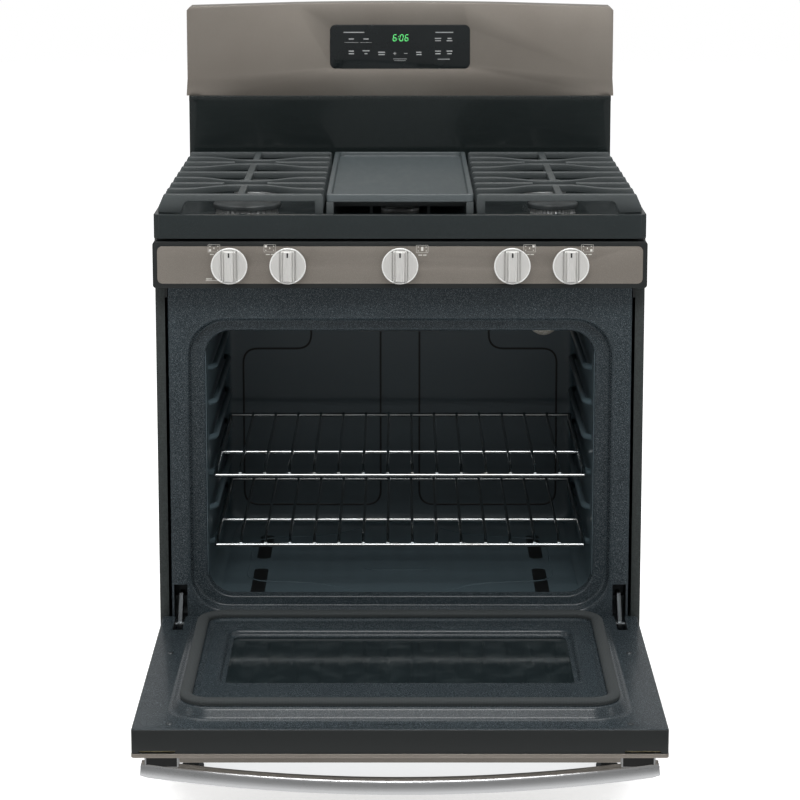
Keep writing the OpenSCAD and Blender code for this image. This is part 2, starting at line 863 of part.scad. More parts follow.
// Knob: turned body with a skirt ring and a grip bar of two ridges
module knob(n) {
    r = knob_d / 2;
    front = knob_depth - 10;
    color("#c4c5c6") placed() translate([knob_xs[n - 1], knob_back, knob_z]) rotate([90, 0, 0])
        difference() {
            union() {
                difference() {
                    rotate_extrude() polygon([[0, 0], [r, 0], [r, 3], [r - 2.2, 4], [r - 3.6, front - 1.5],
                        [r - 5, front], [0, front]]);
                    translate([0, 0, -1]) rotate_extrude()
                        polygon([[9, 0], [r - 6, 0], [r - 7, front - 3], [9, front - 3]]);
                }
                intersection() {
                    translate([-9, -r + 3, 0]) cube([18, 2 * r - 6, knob_depth]);
                    cylinder(h = knob_depth, r1 = r - 1, r2 = r - 5);
                }
            }
            for (x = [-2.2, 2.2]) translate([x - 1.1, -r, knob_depth - 2.5]) cube([2.2, 2 * r, 3]);
            translate([-1.2, r - 13, knob_depth - 1.2]) cube([2.4, 9, 2]);
            translate([0, 0, -1]) cylinder(h = knob_depth - 7.8, d = stem_d + 2 * fit);
        }
}

// ---- Gas supply ----

module pressure_regulator() {
    y = rear_y - riser_inset;
    color("#9d9f9b") placed() {
        difference() {
            block([pipe_x - 22, y - 22, gas_z + 26], [pipe_x + 10, y + 22, gas_z + 58]);
            rod_z([pipe_x, y, gas_z + 20], 60, pipe_d);
        }
        translate([pipe_x - 22, y, gas_z + 42]) rotate([0, -90, 0]) cylinder(h = 14, d = 30);
    }
}

module gas_inlet_pipe() {
    y = rear_y - riser_inset;
    color("#8c9092") placed() difference() {
        union() {
            rod_y([pipe_x, y, gas_z], riser_inset + gas_proud, gas_pipe_d);
            rod_y([pipe_x, y, gas_z], gas_collar_l, gas_collar_d);
            translate([pipe_x, y, gas_z]) sphere(d = gas_collar_d - 2);
            rod_z([pipe_x, y, gas_z], knob_z - gas_z, pipe_d);
            translate([pipe_x, y, knob_z]) sphere(d = pipe_d);
            rod_y([pipe_x, manifold_y, knob_z], y - manifold_y, pipe_d);
        }
        rod_y([pipe_x, y + 10, gas_z], riser_inset + gas_proud, pipe_d - 1);
        rod_x([pipe_x - 100, manifold_y, knob_z], 100, manifold_d);
    }
}

// ---- Hinges ----

// Fixed part of each hinge: receiver pocket in the frame and the claw that carries the pin
module claw_outline() {
    translate([-pivot_out, pivot_z]) circle(9);
    polygon([[-pivot_out - 6, pivot_z + 6], [-pivot_out + 6, pivot_z - 7], [8, pivot_z + 12],
        [44, pivot_z + 18], [44, pivot_z + 40], [8, pivot_z + 44]]);
}

module hinge_mounts() {
    wide = slot_w / 2;
    color("#9b9ea0") placed() both_sides() {
        difference() {
            translate([slot_x - claw_t / 2, 0, 0]) rotate([90, 0, 90]) linear_extrude(claw_t)
                claw_outline();
            rod_x([slot_x - 10, -pivot_out, pivot_z], 20, pin_d + 2 * fit);
        }
        difference() {
            block([slot_x - wide - 2, sheet, slot_low - 4], [slot_x + wide + 2, 50, slot_high + 4]);
            block([slot_x - wide, 0, slot_low - 1], [slot_x + wide, 44, slot_high + 1]);
        }
        block([slot_x - wide, 30, pivot_z + 24], [slot_x - claw_t / 2, 42, pivot_z + 34]);
        block([slot_x + claw_t / 2, 30, pivot_z + 24], [slot_x + wide, 42, pivot_z + 34]);
    }
}

module hinge_channels() {
    w = channel_w / 2;
    color("#84888a") at_door() both_sides() {
        difference() {
            block([slot_x - w, skin_y + skin_t + 3, door_low + edge_wall],
                [slot_x + w, flange_y - sheet, channel_top]);
            block([slot_x - w + 2, skin_y + skin_t + 5, door_low], [slot_x + w - 2, flange_y + 5,
                channel_top - 4]);
        }
        rod_x([slot_x - w, 0, 0], channel_w, pin_d);
    }
}

// ---- Door ----

module door_outline(inset, r) {
    rounded([-door_half + inset, door_low + inset], [door_half - inset, door_rise - inset], r);
}

module hinge_notch() {
    both_sides() block([slot_x - channel_w / 2 + 2, skin_y + skin_t + 5, door_low - 5],
        [slot_x + channel_w / 2 - 2, flange_y + 40, notch_top]);
}

module plateau_slab(grow, y, t) {
    upright(y, t) rounded([-plateau_half - grow, plateau_low - grow],
        [plateau_half + grow, plateau_high + grow], recess_r - plateau_clear + grow);
}

module door_liner() {
    color("#3c4246") at_door() difference() {
        union() {
            upright(flange_y - sheet, sheet) door_outline(edge_wall / 2, 3);
            hull() {
                plateau_slab(0, flange_y - 0.1, 0.1);
                plateau_slab(-plateau_slope + 3, plateau_y - 0.1, 0.1);
            }
        }
        difference() {
            hull() {
                plateau_slab(-sheet, flange_y - sheet - 1, 0.1);
                plateau_slab(-plateau_slope + 3 - sheet, plateau_y - sheet - 0.1, 0.1);
            }
            upright(plateau_y - window_step - sheet, window_step) rounded(
                [-window_half - sheet, window_low - sheet],
                [window_half + sheet, window_high + sheet], window_r + sheet);
        }
        upright(plateau_y - window_step, window_step + 1)
            rounded([-window_half, window_low], [window_half, window_high], window_r);
        upright(flange_y - 5, 20) rounded([-window_half + 8, window_low + 8],
            [window_half - 8, window_high - 8], window_r - 8);
        hinge_notch();
        block([latch_x - latch_w / 2, 0, door_rise - 21], [latch_x + latch_w / 2, 20, door_rise - 18]);
    }
}

// Half of a flattened bead, flat side down
module gasket_section() {
    r = gasket_w / 2;
    intersection() {
        translate([0, gasket_rise - r]) circle(r);
        translate([-r, 0]) square([gasket_w, gasket_rise]);
    }
}

module door_gasket() {
    r = gasket_r - gasket_w / 2;
    x = gasket_half - gasket_w / 2;
    low = gasket_low + gasket_w / 2;
    high = gasket_high - gasket_w / 2;
    color("#2a2f31") at_door() {
        for (z = [low, high]) translate([-x + r, plateau_y, z]) rotate([0, 90, 0])
            rotate([0, 0, 90]) linear_extrude(2 * (x - r)) rotate([0, 0, -90]) gasket_section();
        for (side = [-x, x]) translate([side, plateau_y, low + r])
            linear_extrude(high - low - 2 * r) gasket_section();
        for (sx = [-1, 1], corner = [[low + r, -1], [high - r, 1]])
            translate([sx * (x - r), plateau_y, corner[0]]) rotate([-90, 0, 0])
            rotate([0, 0, sx > 0 ? (corner[1] > 0 ? -90 : 0) : (corner[1] > 0 ? 180 : 90)])
            rotate_extrude(angle = 90) translate([r, 0]) gasket_section();
    }
}

module door_inner_glass() {
    y = plateau_y - window_step - sheet - glass_t;
    color("#20292b") at_door() upright(y, glass_t)
        rounded([-window_half - 10, window_low - 10], [window_half + 10, window_high + 10], 6);
}

module outer_window(grow) {
    rounded([-outer_window_half - grow, outer_window_low - grow],
        [outer_window_half + grow, outer_window_high + grow], 12 + grow);
}

module door_window_glass() {
    color("#14191a") at_door() {
        upright(skin_y + sheet, glass_t) outer_window(16);
        upright(skin_y + 0.3, sheet - 0.3) outer_window(-fit);
    }
}

module door_outer_panel() {
    color("#7d776f") at_door() difference() {
        upright(skin_y, skin_t) door_outline(0, 5);
        upright(skin_y + sheet, skin_t) door_outline(sheet, 4);
        upright(skin_y - 1, 4) outer_window(0);
    }
}

module door_edge_frame() {
    color("#23292a") at_door() difference() {
        upright(skin_y + skin_t, door_t - skin_t - sheet) door_outline(0.5, 4);
        upright(skin_y + skin_t - 1, door_t) door_outline(edge_wall, 3);
        hinge_notch();
        both_sides()
            block([314, skin_y + skin_t + 1, door_rise - 10], [364, skin_y + skin_t + 4, door_rise + 5]);
    }
}

module door_insulation() {
    color("#d9d2b8") at_door() difference() {
        upright(skin_y + skin_t + 1, door_t - skin_t - sheet - 1) door_outline(edge_wall + 3, 3);
        upright(skin_y, door_t + 5) rounded([-outer_window_half - 17, window_low - 20],
            [outer_window_half + 17, outer_window_high + 17], 10);
        both_sides() block([slot_x - channel_w / 2 - 1, skin_y, door_low - 1],
            [slot_x + channel_w / 2 + 1, flange_y + 5, channel_top + 1]);
    }
}

// Solid that the handle bar fills: an arc that bows away from the door
module handle_arc(grow) {
    translate([0, skin_y - handle_out + handle_r, handle_z]) rotate([0, 0, 270 - handle_sweep / 2])
        rotate_extrude(angle = handle_sweep, $fn = 200) translate([handle_r, 0])
        rounded([-handle_t / 2 - grow, -handle_tall / 2 - grow],
            [handle_t / 2 + grow, handle_tall / 2 + grow], 9);
}

module door_handle() { color("#cfd1d2") at_door() handle_arc(0); }

module handle_posts() {
    wide = post_w / 2;
    tall = handle_tall / 2 - 2;
    color("#b8babb") at_door() difference() {
        both_sides() difference() {
            upright(skin_y - 30, 30) rounded([post_x - wide, handle_z - tall],
                [post_x + wide, handle_z + tall], 3);
            upright(skin_y - 31, 29) rounded([post_x - wide + 2, handle_z - tall + 2],
                [post_x + wide - 2, handle_z + tall - 2], 2);
        }
        handle_arc(0);
        upright(skin_y - 70, 70 - handle_out + handle_bow - 13) translate([-500, handle_z - 50])
            square([1000, 100]);
    }
}

module screw_head(p, d) {
    translate(p) rotate([-90, 0, 0]) difference() {
        cylinder(h = 2, d = d);
        translate([0, 0, 1]) cylinder(h = 2, d = d / 2, $fn = 6);
    }
}

module door_screws() {
    color("#8f9496") at_door() {
        both_sides() for (z = [180, door_rise - 22]) screw_head([door_half - 28, flange_y, z], 9);
        both_sides() for (z = [60, 180, 300, 420, 500]) translate([door_half - 0.5, 0, z])
            rotate([0, 90, 0]) cylinder(h = 0.9, d = 7);
    }
}

// ---- Storage drawer ----

module drawer_front() {
    color("#7d776f") placed() difference() {
        upright(drawer_y, drawer_front_t) rounded([-drawer_half, drawer_z], [drawer_half, drawer_top], 5);
        block([-drawer_half + sheet, drawer_y + sheet, drawer_z + sheet],
            [drawer_half - sheet, drawer_y + drawer_front_t - sheet, drawer_top - sheet]);
        block([-150, drawer_y + 8, drawer_top - 5], [150, drawer_y + drawer_front_t - 4, drawer_top + 1]);
    }
}

module drawer_box() {
    y0 = drawer_y + drawer_front_t;
    color("#5d6163") placed() difference() {
        block([-box_half, y0, box_low], [box_half, box_back, box_high]);
        block([-box_half + sheet, y0 + sheet, box_low + sheet],
            [box_half - sheet, box_back - sheet, box_high + 1]);
    }
}

module drawer_runners() {
    color("#a3a6a6") placed() both_sides()
        block([box_half, 20, runner_z], [box_half + runner_w, box_back, runner_z + runner_h]);
}

module drawer_rails() {
    x = box_half + runner_w + gap;
    color("#8e9294") placed() both_sides() {
        block([x, 20 + 2, base_z + sheet], [x + 2, rear_y - 30, runner_z + runner_h + 4]);
        block([x - 9, 22, runner_z - 2.5 - gap], [x, rear_y - 30, runner_z - gap]);
        block([x - 9, 22, runner_z + runner_h + gap], [x, rear_y - 30, runner_z + runner_h + 2 + gap]);
        block([x - 16, rear_y - 30, base_z + sheet], [x + 2, rear_y - 28, runner_z + runner_h + 4]);
    }
}

module cabinet_screws() {
    color("#9a9ea0") placed() {
        both_sides() for (z = [120, 400, 700]) translate([half_w - 20, rear_y + sheet, z])
            rotate([-90, 0, 0]) cylinder(h = 2, d = 9);
        both_sides() for (y = [120, 460]) translate([half_w, y, base_z + 40])
            rotate([0, 90, 0]) cylinder(h = 0.9, d = 9);
    }
}

// ---- Racks ----

module rack(level) {
    low = guide_z(level) + gap;
    mid = low + rail_d / 2;
    deck = mid + rail_d / 2 + wire_d / 2 - 0.6;
    side = rack_half - rail_d / 2;
    front_z = mid - rack_drop;
    color("#c9cccd") placed() {
        rod_x([-side, rack_front, front_z], 2 * side, rail_d);
        for (y = [rack_front + rack_depth / 3, rack_back - 60]) rod_x([-side, y, mid], 2 * side, rail_d);
        rod_x([-side, rack_back, mid + rack_stop], 2 * side, rail_d);
        both_sides() {
            rod_slope(side, [rack_front, front_z], [rack_front + 16, mid], rail_d);
            rod_y([side, rack_front + 16, mid], rack_depth - 32, rail_d);
            rod_slope(side, [rack_back - 16, mid], [rack_back, mid + rack_stop], rail_d);
            for (p = [[rack_front, front_z], [rack_front + 16, mid], [rack_back - 16, mid],
                [rack_back, mid + rack_stop]]) translate([side, p[0], p[1]]) sphere(d = rail_d + weld);
        }
        for (k = [0:rack_wires - 1]) {
            x = side * (2 * (k + 1) / (rack_wires + 1) - 1);
            rod_slope(x, [rack_front, front_z + 2], [rack_front + 14, deck], wire_d);
            translate([x, rack_front + 14, deck]) sphere(d = wire_d + weld);
            rod_y([x, rack_front + 14, deck], rack_depth - 14, wire_d);
        }
    }
}

module upper_rack() { rack(2); }
module lower_rack() { rack(0); }

side_panel_left();
side_panel_right();
rear_panel();
base_pan();
levelling_legs();
oven_front_frame();
oven_liner();
oven_floor_panel();
oven_insulation();
bake_burner();
broil_burner();
oven_lamp();
oven_temperature_probe();
cooktop();
burner_bases();
burner_caps();
spark_electrodes();
backsplash();
console_shell();
console_glass();
console_circuit_board();
control_panel();
control_panel_trim();
gas_manifold();
gas_valves();
pressure_regulator();
gas_inlet_pipe();
hinge_mounts();
drawer_rails();
cabinet_screws();
door_liner();
door_gasket();
door_inner_glass();
door_window_glass();
door_outer_panel();
door_edge_frame();
door_insulation();
door_handle();
handle_posts();
hinge_channels();
door_screws();
drawer_front();
drawer_box();
drawer_runners();
upper_rack();
lower_rack();
left_grate();
right_grate();
centre_grate();
griddle();
valve_stem(1);  // valve_stem_1
valve_stem(2);  // valve_stem_2
valve_stem(3);  // valve_stem_3
valve_stem(4);  // valve_stem_4
valve_stem(5);  // valve_stem_5
knob(1);  // knob_1
knob(2);  // knob_2
knob(3);  // knob_3
knob(4);  // knob_4
knob(5);  // knob_5
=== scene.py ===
"""Looks of a freestanding gas range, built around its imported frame."""

import json
import math

import bmesh
import bpy
from mathutils import Matrix, Vector

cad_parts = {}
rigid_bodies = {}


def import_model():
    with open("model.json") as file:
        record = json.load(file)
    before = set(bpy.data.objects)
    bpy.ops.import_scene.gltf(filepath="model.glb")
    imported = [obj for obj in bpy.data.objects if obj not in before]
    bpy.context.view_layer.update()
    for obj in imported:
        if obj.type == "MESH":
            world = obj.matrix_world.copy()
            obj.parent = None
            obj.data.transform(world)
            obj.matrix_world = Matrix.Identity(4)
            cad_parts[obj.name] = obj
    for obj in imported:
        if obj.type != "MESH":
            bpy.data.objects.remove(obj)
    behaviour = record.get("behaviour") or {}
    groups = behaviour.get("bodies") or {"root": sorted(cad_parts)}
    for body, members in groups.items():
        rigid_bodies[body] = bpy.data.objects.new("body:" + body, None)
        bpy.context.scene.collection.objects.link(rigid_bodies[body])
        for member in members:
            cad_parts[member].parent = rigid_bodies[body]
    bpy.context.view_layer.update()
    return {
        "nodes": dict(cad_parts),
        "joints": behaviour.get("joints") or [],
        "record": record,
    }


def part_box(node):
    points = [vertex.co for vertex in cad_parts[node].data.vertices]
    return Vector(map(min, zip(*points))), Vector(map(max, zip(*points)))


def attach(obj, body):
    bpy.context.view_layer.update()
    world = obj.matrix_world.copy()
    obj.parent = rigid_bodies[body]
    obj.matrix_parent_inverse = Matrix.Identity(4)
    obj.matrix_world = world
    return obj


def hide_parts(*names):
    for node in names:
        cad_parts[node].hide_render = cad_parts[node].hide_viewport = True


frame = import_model()

bl_info = {
    "name": "Gas Range Looks",
    "version": (1, 0, 0),
    "blender": (4, 5, 0),
    "location": "3D View > Sidebar > Range",
    "description": "Builds the visible pieces and finishes of a freestanding gas range",
    "category": "Object",
}

MM = 0.001
SIDES = (-1, 1)
CREASE = 40.0
MERGE = 0.002 * MM
NODES = frame["nodes"]
JOINTS = {joint["name"]: joint for joint in frame["joints"]}
BODY_OF = {
    node: body
    for body, nodes in frame["record"]["behaviour"]["bodies"].items()
    for node in nodes
}
HINGE = Vector(JOINTS["door_hinge"]["pos_m"])
DOOR_DOWN = math.radians(JOINTS["door_hinge"]["range_deg"][1])
DOOR = Matrix.Translation(HINGE) @ Matrix.Rotation(DOOR_DOWN, 4, "X")


def local_box(node, place):
    """Lowest and highest corner of a CAD node, in the axes of a place."""
    turn = place.inverted()
    points = [turn @ vertex.co for vertex in NODES[node].data.vertices]
    low = Vector([min(p[axis] for p in points) for axis in range(3)])
    high = Vector([max(p[axis] for p in points) for axis in range(3)])
    return low, high


# ---- Shader maths ----


class Value:
    """A socket of a node tree. Sums and products on it add Math nodes."""

    def __init__(self, tree, socket):
        self.tree, self.socket = tree, socket

    def maths(self, operation, *numbers, clamp=False):
        settings = {"operation": operation, "use_clamp": clamp}
        return self.tree.add("ShaderNodeMath", settings, dict(enumerate(numbers)))

    def __add__(self, other):
        return self.maths("ADD", self, other)

    def __sub__(self, other):
        return self.maths("SUBTRACT", self, other)

    def __mul__(self, other):
        return self.maths("MULTIPLY", self, other)

    def __truediv__(self, other):
        return self.maths("DIVIDE", self, other)

    __radd__ = __add__

    def above(self, edge, softness):
        """0 below an edge and 1 above it, with a soft step between."""
        step = (self - edge) / softness + 0.5
        return step.maths("ADD", step, 0.0, clamp=True)

    def sine(self):
        return self.maths("SINE", self)


class Finish:
    """A material and the node tree that paints it."""

    def __init__(self, name):
        self.material = bpy.data.materials.new(name)
        self.material.use_nodes = True
        self.nodes = self.material.node_tree.nodes
        self.links = self.material.node_tree.links
        self.skin = self.nodes["Principled BSDF"]
        self.place = self.add("ShaderNodeTexCoord", {}, {}, "Object")

    def add(self, kind, settings, inputs, output=0):
        """Any node: its settings are set first, then its sockets' values or links."""
        node = self.nodes.new(kind)
        for key, setting in settings.items():
            if key == "stops":
                self.set_stops(node.color_ramp, setting)
            else:
                setattr(node, key, setting)
        for key, value in inputs.items():
            if isinstance(value, Value):
                self.links.new(value.socket, node.inputs[key])
            else:
                node.inputs[key].default_value = value
        return Value(self, node.outputs[output])

    @staticmethod
    def set_stops(ramp, stops):
        while len(ramp.elements) < len(stops):
            ramp.elements.new(0.5)
        for element, (position, colour) in zip(ramp.elements, stops):
            element.position = position
            element.color = (*colour, 1.0)

    def stretched(self, x, y, z):
        """Object coordinates scaled along each axis."""
        return self.add("ShaderNodeMapping", {}, {"Vector": self.place, "Scale": (x, y, z)})

    def noise(self, scale, detail=2.0, roughness=0.5, place=None):
        sockets = {
            "Vector": place or self.place,
            "Scale": scale,
            "Detail": detail,
            "Roughness": roughness,
        }
        return self.add("ShaderNodeTexNoise", {}, sockets)

    def cells(self, scale, output="Distance"):
        sockets = {"Vector": self.place, "Scale": scale}
        return self.add("ShaderNodeTexVoronoi", {}, sockets, output)

    def axis(self, letter, place=None):
        return self.add("ShaderNodeSeparateXYZ", {}, {0: place or self.place}, letter)

    def blend(self, mask, first, second):
        """A colour between two others."""
        tint = [tuple((*c, 1.0)[:4]) if not isinstance(c, Value) else c for c in (first, second)]
        return self.add(
            "ShaderNodeMix", {"data_type": "RGBA"}, {0: mask, 6: tint[0], 7: tint[1]}, 2
        )

    def ramp(self, value, stops):
        return self.add("ShaderNodeValToRGB", {"stops": stops}, {0: value})

    def bump(self, height, depth_mm, strength=1.0):
        sockets = {"Height": height, "Distance": depth_mm * MM, "Strength": strength}
        self.set(Normal=self.add("ShaderNodeBump", {}, sockets))

    def set(self, **sockets):
        """Values or links for the sockets of the surface shader."""
        for key, value in sockets.items():
            socket = self.skin.inputs[key.replace("_", " ")]
            if isinstance(value, Value):
                self.links.new(value.socket, socket)
            elif isinstance(value, (tuple, list)) and len(value) == 3:
                socket.default_value = (*value, 1.0)
            else:
                socket.default_value = value


def shade(level):
    """Linear value of a display level from 0 to 255."""
    value = level / 255
    return value / 12.92 if value <= 0.04045 else ((value + 0.055) / 1.055) ** 2.4


def tint(red, green, blue, shift=0):
    """Linear colour of three display levels, all moved by a shift."""
    return tuple(shade(level + shift) for level in (red, green, blue))


# ---- Finishes ----


def edge_wear(finish, dark, light, scale=35.0):
    """Soft cloudy variation between two colours."""
    cloud = finish.noise(scale, 4.0, 0.6).above(0.5, 0.5)
    return finish.blend(cloud, dark, light)


def slate_enamel():
    """Warm grey metallic paint with a fine flake and a faint drawn grain."""
    finish = Finish("slate_enamel")
    grain = finish.noise(900.0, 2.0, 0.6, finish.stretched(0.06, 1.0, 1.0))
    flake = finish.noise(2600.0, 1.0, 0.5)
    body = edge_wear(finish, tint(124, 117, 109), tint(134, 128, 120), 6.0)
    speck = finish.blend(flake.above(0.62, 0.12) * 0.35, body, tint(176, 170, 162))
    finish.set(
        Base_Color=speck, Metallic=0.55, Roughness=0.36 + grain * 0.14, Coat_Weight=0.15,
        Coat_Roughness=0.25,
    )
    finish.bump(grain + flake * 0.5, 0.012)
    return finish.material


def gloss_black_enamel(name="gloss_black_enamel", level=(30, 36, 37), rough=0.16):
    """Deep black porcelain enamel with a slight orange peel."""
    finish = Finish(name)
    peel = finish.noise(140.0, 3.0, 0.55)
    dust = finish.noise(2200.0, 1.0, 0.5).above(0.68, 0.08)
    base = finish.blend(dust * 0.4, tint(*level), tint(92, 100, 102))
    finish.set(
        Base_Color=base, Roughness=rough + peel * 0.08, Coat_Weight=0.15, Specular_IOR_Level=0.4,
        Coat_Roughness=0.08,
    )
    finish.bump(peel, 0.05, 0.5)
    return finish.material


def speckled_enamel():
    """Blue-black oven enamel with pale and dark specks."""
    finish = Finish("speckled_enamel")
    pale = finish.noise(1150.0, 2.0, 0.55).above(0.60, 0.07)
    dim = finish.noise(700.0, 2.0, 0.55).above(0.56, 0.10)
    peel = finish.noise(90.0, 3.0, 0.5)
    body = edge_wear(finish, tint(35, 42, 46), tint(43, 51, 55), 9.0)
    body = finish.blend(dim * 0.55, body, tint(20, 25, 28))
    body = finish.blend(pale * 0.6, body, tint(104, 114, 120))
    finish.set(
        Base_Color=body, Roughness=0.24 + pale * 0.1, Coat_Weight=0.06, Specular_IOR_Level=0.27,
        Coat_Roughness=0.1,
    )
    finish.bump(peel + pale * 0.15, 0.06, 0.5)
    return finish.material


def cast_iron(name="cast_iron", level=(50, 56, 57)):
    """Matt enamelled casting with a sandy surface."""
    finish = Finish(name)
    sand = finish.noise(1500.0, 3.0, 0.65)
    swell = finish.noise(120.0, 3.0, 0.6)
    body = finish.blend(sand.above(0.55, 0.3) * 0.7, tint(*level), tint(*level, 26))
    finish.set(Base_Color=body, Roughness=0.42 + sand * 0.2, Specular_IOR_Level=0.6)
    finish.bump(sand * 0.5 + swell, 0.16, 0.7)
    return finish.material


def griddle_coating():
    """Smooth dark non-stick coating, a little worn where pans slide."""
    finish = Finish("griddle_coating")
    fine = finish.noise(2400.0, 2.0, 0.6)
    rub = finish.noise(40.0, 4.0, 0.6, finish.stretched(1.0, 0.25, 1.0)).above(0.55, 0.25)
    body = finish.blend(rub * 0.12, tint(72, 79, 81), tint(92, 99, 102))
    finish.set(Base_Color=body, Roughness=0.34 + fine * 0.16 - rub * 0.05)
    finish.bump(fine, 0.03, 0.6)
    return finish.material


def brushed_steel(name, along, level=(205, 206, 207), rough=0.24):
    """Stainless steel brushed along one axis."""
    finish = Finish(name)
    stretch = [1.0, 1.0, 1.0]
    stretch["XYZ".index(along)] = 0.02
    lines = finish.noise(1700.0, 3.0, 0.7, finish.stretched(*stretch))
    smear = finish.noise(14.0, 3.0, 0.5)
    body = finish.blend(lines, tint(*level, -22), tint(*level))
    finish.set(Base_Color=body, Metallic=1.0, Roughness=rough + lines * 0.14 + smear * 0.05)
    finish.bump(lines, 0.02, 0.7)
    return finish.material


def satin_silver(name, level):
    """Moulded knob with a bright metallic coat, finely spun."""
    finish = Finish(name)
    spun = finish.noise(1900.0, 3.0, 0.7, finish.stretched(1.0, 1.0, 0.03))
    body = finish.blend(spun, tint(*level, -26), tint(*level))
    finish.set(Base_Color=body, Metallic=0.35, Roughness=0.3 + spun * 0.14)
    finish.bump(spun, 0.02, 0.7)
    return finish.material


def chrome_wire():
    """Bright plated wire with slight heat tint."""
    finish = Finish("chrome_wire")
    heat = finish.noise(18.0, 3.0, 0.6).above(0.55, 0.3)
    body = finish.blend(heat * 0.5, tint(172, 176, 177), tint(154, 150, 142))
    pits = finish.noise(900.0, 2.0, 0.5)
    finish.set(Base_Color=body, Metallic=1.0, Roughness=0.12 + heat * 0.1 + pits * 0.06)
    finish.bump(pits, 0.02, 0.5)
    return finish.material


def galvanised_sheet():
    """Zinc-plated sheet with a crystal spangle."""
    finish = Finish("galvanised_sheet")
    spangle = finish.cells(110.0, "Color")
    level = finish.axis("X", spangle)
    body = finish.blend(level, tint(156, 161, 164), tint(172, 176, 178))
    fine = finish.noise(600.0, 3.0, 0.6)
    finish.set(Base_Color=body, Metallic=0.9, Roughness=0.36 + level * 0.1 + fine * 0.08)
    finish.bump(level + fine * 0.4, 0.02, 0.5)
    return finish.material


def textured_paint():
    """Dark powder coat of the side panels with a pebbled surface."""
    finish = Finish("textured_paint")
    pebble = finish.cells(420.0)
    cloud = finish.noise(5.0, 3.0, 0.5)
    body = finish.blend(pebble.above(0.55, 0.5), tint(30, 35, 34), tint(44, 50, 49))
    finish.set(Base_Color=body, Roughness=0.42 + cloud * 0.12)
    finish.bump(pebble, 0.12, 0.6)
    return finish.material


def dark_glass(name, level):
    """Black glass, clear and hard."""
    finish = Finish(name)
    wave = finish.noise(7.0, 2.0, 0.4)
    body = edge_wear(finish, tint(*level), tint(*level, 5), 20.0)
    finish.set(
        Base_Color=body, Roughness=0.05 + wave * 0.04, Specular_IOR_Level=0.4, Coat_Weight=0.12,
        Coat_Roughness=0.03,
    )
    finish.bump(wave, 0.02, 0.3)
    return finish.material


def oven_glass():
    """Tinted pane that shows the dark inside of the door."""
    finish = Finish("oven_glass")
    film = finish.noise(30.0, 4.0, 0.6).above(0.62, 0.3)
    body = finish.blend(film * 0.5, tint(26, 33, 35), tint(52, 60, 62))
    finish.set(
        Base_Color=body, Roughness=0.07 + film * 0.1, Specular_IOR_Level=0.3,
        Coat_Roughness=0.03,
    )
    finish.bump(film, 0.01, 0.3)
    return finish.material


def woven_gasket():
    """Braided glass-fibre seal."""
    finish = Finish("woven_gasket")
    flat_x = finish.axis("X")
    flat_y = finish.axis("Y")
    braid = ((flat_x + flat_y) * 1500.0).sine() * ((flat_x - flat_y) * 1500.0).sine()
    fuzz = finish.noise(1800.0, 3.0, 0.7)
    body = finish.blend(braid * 0.5 + 0.5, tint(30, 34, 35), tint(58, 63, 64))
    finish.set(Base_Color=body, Roughness=0.78 + fuzz * 0.15)
    finish.bump(braid * 0.5 + fuzz, 0.25, 0.8)
    return finish.material


def mineral_wool():
    """Yellow-white fibres of the insulation."""
    finish = Finish("mineral_wool")
    fibre = finish.noise(260.0, 5.0, 0.75, finish.stretched(1.0, 1.0, 0.2))
    body = finish.blend(fibre.above(0.5, 0.4), tint(196, 180, 128), tint(232, 222, 184))
    finish.set(Base_Color=body, Roughness=0.95)
    finish.bump(fibre, 1.2, 0.8)
    return finish.material


def circuit_board():
    """Green solder mask with traces under it."""
    finish = Finish("circuit_board")
    traces = (finish.axis("X") * 1800.0).sine() * (finish.axis("Z") * 900.0).sine()
    line = traces.above(0.15, 0.1)
    body = finish.blend(line * 0.6, tint(18, 78, 44), tint(54, 128, 78))
    finish.set(Base_Color=body, Roughness=0.3 + line * 0.1)
    finish.bump(line, 0.04, 0.6)
    return finish.material


def glazed_ceramic():
    """White insulator with a faint crackle."""
    finish = Finish("glazed_ceramic")
    crack = finish.cells(300.0)
    body = finish.blend(crack.above(0.5, 0.4), tint(206, 200, 186), tint(236, 233, 224))
    finish.set(Base_Color=body, Roughness=0.2 + crack * 0.1, Coat_Weight=0.4)
    finish.bump(crack, 0.02, 0.3)
    return finish.material


def cast_metal(name, level, rough=0.42):
    """Die-cast alloy with a fine sand skin."""
    finish = Finish(name)
    sand = finish.noise(900.0, 4.0, 0.65)
    stain = finish.noise(45.0, 4.0, 0.6).above(0.56, 0.3)
    body = finish.blend(stain * 0.5, tint(*level), tint(*[v * 0.72 for v in level]))
    finish.set(Base_Color=body, Metallic=0.95, Roughness=rough + sand * 0.15)
    finish.bump(sand, 0.08, 0.6)
    return finish.material


def satin_black(name="satin_black", level=(15, 19, 19)):
    """Moulded or painted black trim with a light texture, whose near-black copy also serves for painted
    shade.
    """
    finish = Finish(name)
    grain = finish.noise(1400.0, 3.0, 0.6)
    body = finish.blend(grain, tint(*level), tint(*level, 10))
    finish.set(Base_Color=body, Roughness=0.38 + grain * 0.14)
    finish.bump(grain, 0.04, 0.5)
    return finish.material


def lit_segment():
    """Green glow of the clock digits, uneven as a real display is."""
    finish = Finish("lit_segment")
    cloud = finish.noise(400.0, 2.0, 0.5)
    glow = finish.blend(cloud, tint(62, 190, 96), tint(120, 240, 140))
    finish.set(
        Base_Color=tint(20, 70, 34), Roughness=0.4, Emission_Color=glow, Emission_Strength=1.6,
    )
    return finish.material


def printed_ink(name, level):
    """Thin printed legend on glass or paint."""
    finish = Finish(name)
    edge = finish.noise(2500.0, 2.0, 0.6)
    body = finish.blend(edge, tint(*level, -14), tint(*level))
    finish.set(Base_Color=body, Roughness=0.5 + edge * 0.1)
    return finish.material


